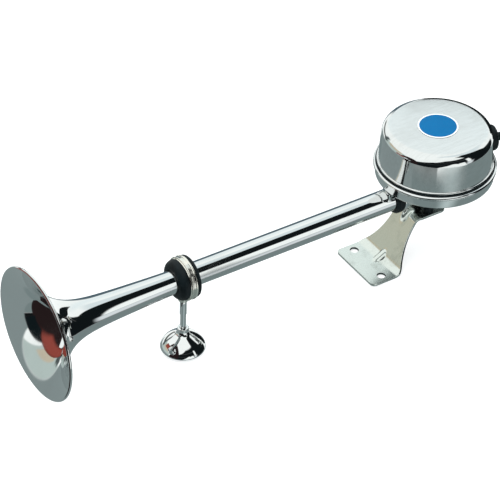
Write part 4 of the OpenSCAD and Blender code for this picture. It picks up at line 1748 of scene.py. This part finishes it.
@dataclass(frozen=True)
class Card:
    """A black cloth that only reflections show.

    Attributes:
        name: the card's name.
        place: its middle, in metres.
        size: its width and height before it is turned.
        turn: its turn about the axes.
    """

    name: str
    place: Place
    size: tuple[float, float]
    turn: Place

    def glow(self, tree: Tree) -> Value:
        """Makes the shader of what the card shows.

        Args:
            tree: the card's tree.

        Returns:
            The shader.
        """
        weave = tree.noise(tree.spot(), 30, 3)
        colour = tree.blend(weave, (0.005, 0.007, 0.008, 1.0), (0.008, 0.012, 0.013, 1.0))
        return tree.node("ShaderNodeEmission", None, {"Color": colour})

    def build(self) -> None:
        """Adds the card to the scene."""
        clear_selection()
        bpy.ops.mesh.primitive_plane_add(size=1, location=self.place, rotation=self.turn)
        plane = added(self.name)
        plane.scale = (*self.size, 1)
        settle(plane)
        material = bpy.data.materials.new(self.name + "_cloth")
        tree = Tree(material)
        tree.node("ShaderNodeOutputMaterial", None, {"Surface": self.glow(tree)})
        plane.data.materials.append(material)
        plane.visible_camera = plane.visible_diffuse = plane.visible_shadow = False
        plane.visible_transmission = plane.visible_volume_scatter = False


@dataclass(frozen=True)
class BellCard(Card):
    """A round brown cloth before the bell, with a red hem, a black fold and an open corner.

    Attributes:
        middle: middle of the round cloth, as Y and Z in metres.
        reach: half its width and half its height.
        floor_z: height of the floor, where it ends.
        hem_y: sides of the hem.
        hem_z: lower and upper edge of the hem.
        fold_y: sides of the black fold.
        fold_z: its lower and upper edge.
        edge: half the width of a soft edge.
        brown: colour of the cloth.
        red: colour of its lit part.
        black: colour of the fold.
    """

    middle: tuple[float, float] = (-0.025, 0.05)
    reach: tuple[float, float] = (0.13, 0.19)
    floor_z: float = -0.10
    hem_y: tuple[float, float] = (0.002, 0.188)
    hem_z: tuple[float, float] = (0.058, 0.120)
    fold_y: tuple[float, float] = (-0.010, 0.020)
    fold_z: tuple[float, float] = (0.020, 0.060)
    edge: float = 0.002
    brown: Colour = (0.021, 0.013, 0.0135, 1.0)
    red: Colour = (0.33, 0.070, 0.052, 1.0)
    black: Colour = (0.006, 0.011, 0.013, 1.0)

    def glow(self, tree: Tree) -> Value:
        """Makes the shader of what the card shows.

        Args:
            tree: the card's tree.

        Returns:
            The shader, clear outside the cloth.
        """
        across, height = (tree.axis(tree.spot(), name) for name in "YZ")
        lit = tree.past(height, 0.0575, 0.0125) * tree.past(across, -0.005, 0.015)
        lit = lit * (1 - tree.past(height, 0.115, 0.015))
        fold = tree.within(across, *self.fold_y, self.edge)
        fold = fold * tree.within(height, *self.fold_z, self.edge)
        cloth = tree.blend(fold, tree.blend(lit, self.brown, self.red), self.black)
        round_y = (across - self.middle[0]) / self.reach[0]
        round_z = (height - self.middle[1]) / self.reach[1]
        disc = 1 - tree.past(round_y * round_y + round_z * round_z, 1.0, 0.04)
        hem = tree.within(across, *self.hem_y, self.edge)
        hem = hem * tree.within(height, *self.hem_z, self.edge)
        corner = tree.past(across + height * 0.31, 0.0025, self.edge)
        corner = corner * (1 - tree.past(height, 0.026, self.edge))
        gap = tree.past(across, 0.0205, 0.0015) * (1 - tree.past(height, 0.060, self.edge))
        below = 1 - tree.past(height, self.floor_z, self.edge)
        cut = tree.larger(tree.larger(corner, gap), below)
        shown = tree.larger(tree.larger(disc * (1 - cut), hem), fold)
        glow = tree.node("ShaderNodeEmission", None, {"Color": cloth})
        clear = tree.node("ShaderNodeBsdfTransparent")
        return tree.node("ShaderNodeMixShader", None, {0: shown, 1: clear, 2: glow})


@dataclass
class Studio:
    """Floor, walls, soft lights and the camera.

    Attributes:
        target: the point that the camera looks at, in metres.
        back: direction from the target to the camera.
        distance: length of that way.
        roll: turn of the camera about its view, in degrees.
        lens: focal length, in millimetres.
        fall: how much lower the floor is under the front foot, in millimetres.
        fall_l: length over which it falls.
        deck_x: place where the floor has the deck's height.
    """

    target: Place = (-0.11076, 0.0, 0.060)
    back: Place = (-0.4343, -0.650, 0.6237)
    distance: float = 2.0579
    roll: float = 1.76
    lens: float = 197.6
    fall: float = 9.2
    fall_l: float = 160.1
    deck_x: float = 8.1

    def camera(self) -> None:
        """Adds the camera at the photograph's angle."""
        clear_selection()
        back = Vector(self.back).normalized()
        right = Vector((0, 0, 1)).cross(back).normalized()
        up = back.cross(right)
        roll = math.radians(self.roll)
        across = right * math.cos(roll) + up * math.sin(roll)
        upward = up * math.cos(roll) - right * math.sin(roll)
        place = Vector(self.target) + self.distance * back
        bpy.ops.object.camera_add(location=place)
        camera = bpy.context.object
        turn = Matrix((across, upward, back)).transposed().to_4x4()
        camera.matrix_world = Matrix.Translation(place) @ turn
        camera.data.lens = self.lens
        camera.data.sensor_width = 36
        bpy.context.scene.camera = camera

    def floor(self) -> None:
        """Adds the pale floor, which falls gently towards the front foot."""
        clear_selection()
        bpy.ops.mesh.primitive_plane_add(size=8)
        plane = added("floor")
        plane.rotation_euler = (0, -math.atan(self.fall / self.fall_l), 0)
        plane.location = (MM * self.deck_x, 0, -MM * 0.05)
        settle(plane)
        material = bpy.data.materials.new("pale_floor")
        tree = Tree(material)
        grain = tree.noise(tree.spot(), 60, 2)
        sockets = {
            "Base Color": tree.blend(grain, (0.38, 0.39, 0.39, 1.0), (0.42, 0.42, 0.42, 1.0)),
            "Roughness": 0.9,
            "Emission Color": (0.98, 0.99, 1.0, 1.0),
            "Emission Strength": 0.72,
        }
        shader = tree.node("ShaderNodeBsdfPrincipled", None, sockets)
        tree.node("ShaderNodeOutputMaterial", None, {"Surface": shader})
        plane.data.materials.append(material)
        plane.visible_glossy = False

    def walls(self) -> None:
        """Paints what the chrome mirrors: pale walls, dark cloths, a grey table, a few strips."""
        world = bpy.data.worlds.new("studio")
        bpy.context.scene.world = world
        tree = Tree(world)
        way = tree.node("ShaderNodeTexCoord", out="Generated")
        x, y, z = (tree.axis(way, name) for name in "XYZ")
        turn = tree.maths("ARCTAN2", y, x) * math.degrees(1)
        rise = tree.maths("ARCSINE", z) * math.degrees(1)
        black = (0.006, 0.009, 0.010)
        white = (1.10, 1.15, 1.13)
        patches = (
            Patch((0.96, 1.06, 1.07), 46, 20, 44, 34, 30, 12.0),
            Patch((0.82, 0.92, 0.94), 2, 44, 90, 26, 26, 8.0),
            Patch((0.54, 0.64, 0.61), 142, -9, 20, 30, 27, 1.5),
            Patch((0.64, 0.57, 0.44), 145, 8, 22, 20, 16, 2.0),
            Patch(black, -84, -30, 8, 92, 88, 2.5),
            Patch(black, -80, 6, 30, 86, 54, 3.0),
            Patch(black, -75, 28, 46, 58, 30, 3.0),
            Patch(black, -37.5, -12, 66, 20.5, 20.5, 1.5),
            Patch((0.10, 0.15, 0.18), 64, -36, 18, 12, 5, 3.0),
            Patch((0.03, 0.035, 0.03), 101, 1, 10, 20, 20, 3.0),
            Patch((0.10, 0.12, 0.12), 114, -4, 28, 4, 4, 2.0),
            Patch(white, -92, -31, 6, 32, 3, 1.5),
            Patch(white, -77, -20, 4, 11, 5, 1.5),
            Patch(white, -61, -2, 30, 4.0, 4.0, 1.5),
            Patch((0.80, 0.86, 0.88), -59, -26, -2, 7.0, 6.0, 4.0),
            Patch((0.21, 0.265, 0.265), 0, -91, -29.7, 181, 181, 0.5),
            Patch((0.54, 0.64, 0.64), -94, -91, -29.7, 14, 14, 14.0),
            Patch((0.26, 0.315, 0.315), 138, -62, -9, 52, 50, 1.5),
        )
        colour: Any = (*white, 1.0)
        for patch in patches:
            colour = tree.blend(patch.share(tree, turn, rise), colour, (*patch.tone, 1.0))
        sky = tree.node("ShaderNodeBackground", None, {"Color": colour, "Strength": 1.0})
        tree.node("ShaderNodeOutputWorld", None, {"Surface": sky})

    def build(self) -> None:
        """Sets the studio up."""
        self.camera()
        self.floor()
        quarter = math.pi / 2
        Card("back_card", (0.78, 0.3, -0.02), (1.06, 0.65), (quarter, 0, 0)).build()
        BellCard("bell_card", (-0.35, 0.02, 0.03), (0.48, 0.42), (0, quarter, 0)).build()
        self.walls()
        lights = {
            "key_light": Softbox((-0.7, 0.4, 1.4), (0, 0, 0.05), (1.9, 1.9), 24.0),
            "fill_light": Softbox((0.5, -1.3, 0.9), (0, 0, 0.05), (1.5, 1.5), 12.0),
        }
        for name, light in lights.items():
            light.build(name)
        bpy.context.scene.view_settings.view_transform = "Standard"


def main() -> None:
    """Builds the studio and every sub-assembly in order."""
    logging.basicConfig(level=logging.INFO, format="%(name)s: %(message)s")
    Studio().build()
    for part in (Trumpet(), Casting(), Cover(), Bracket(), FrontSupport(), PowerUnit()):
        LOG.info("building %s", type(part).__name__)
        part.build()


if __name__ == "__main__":
    main()
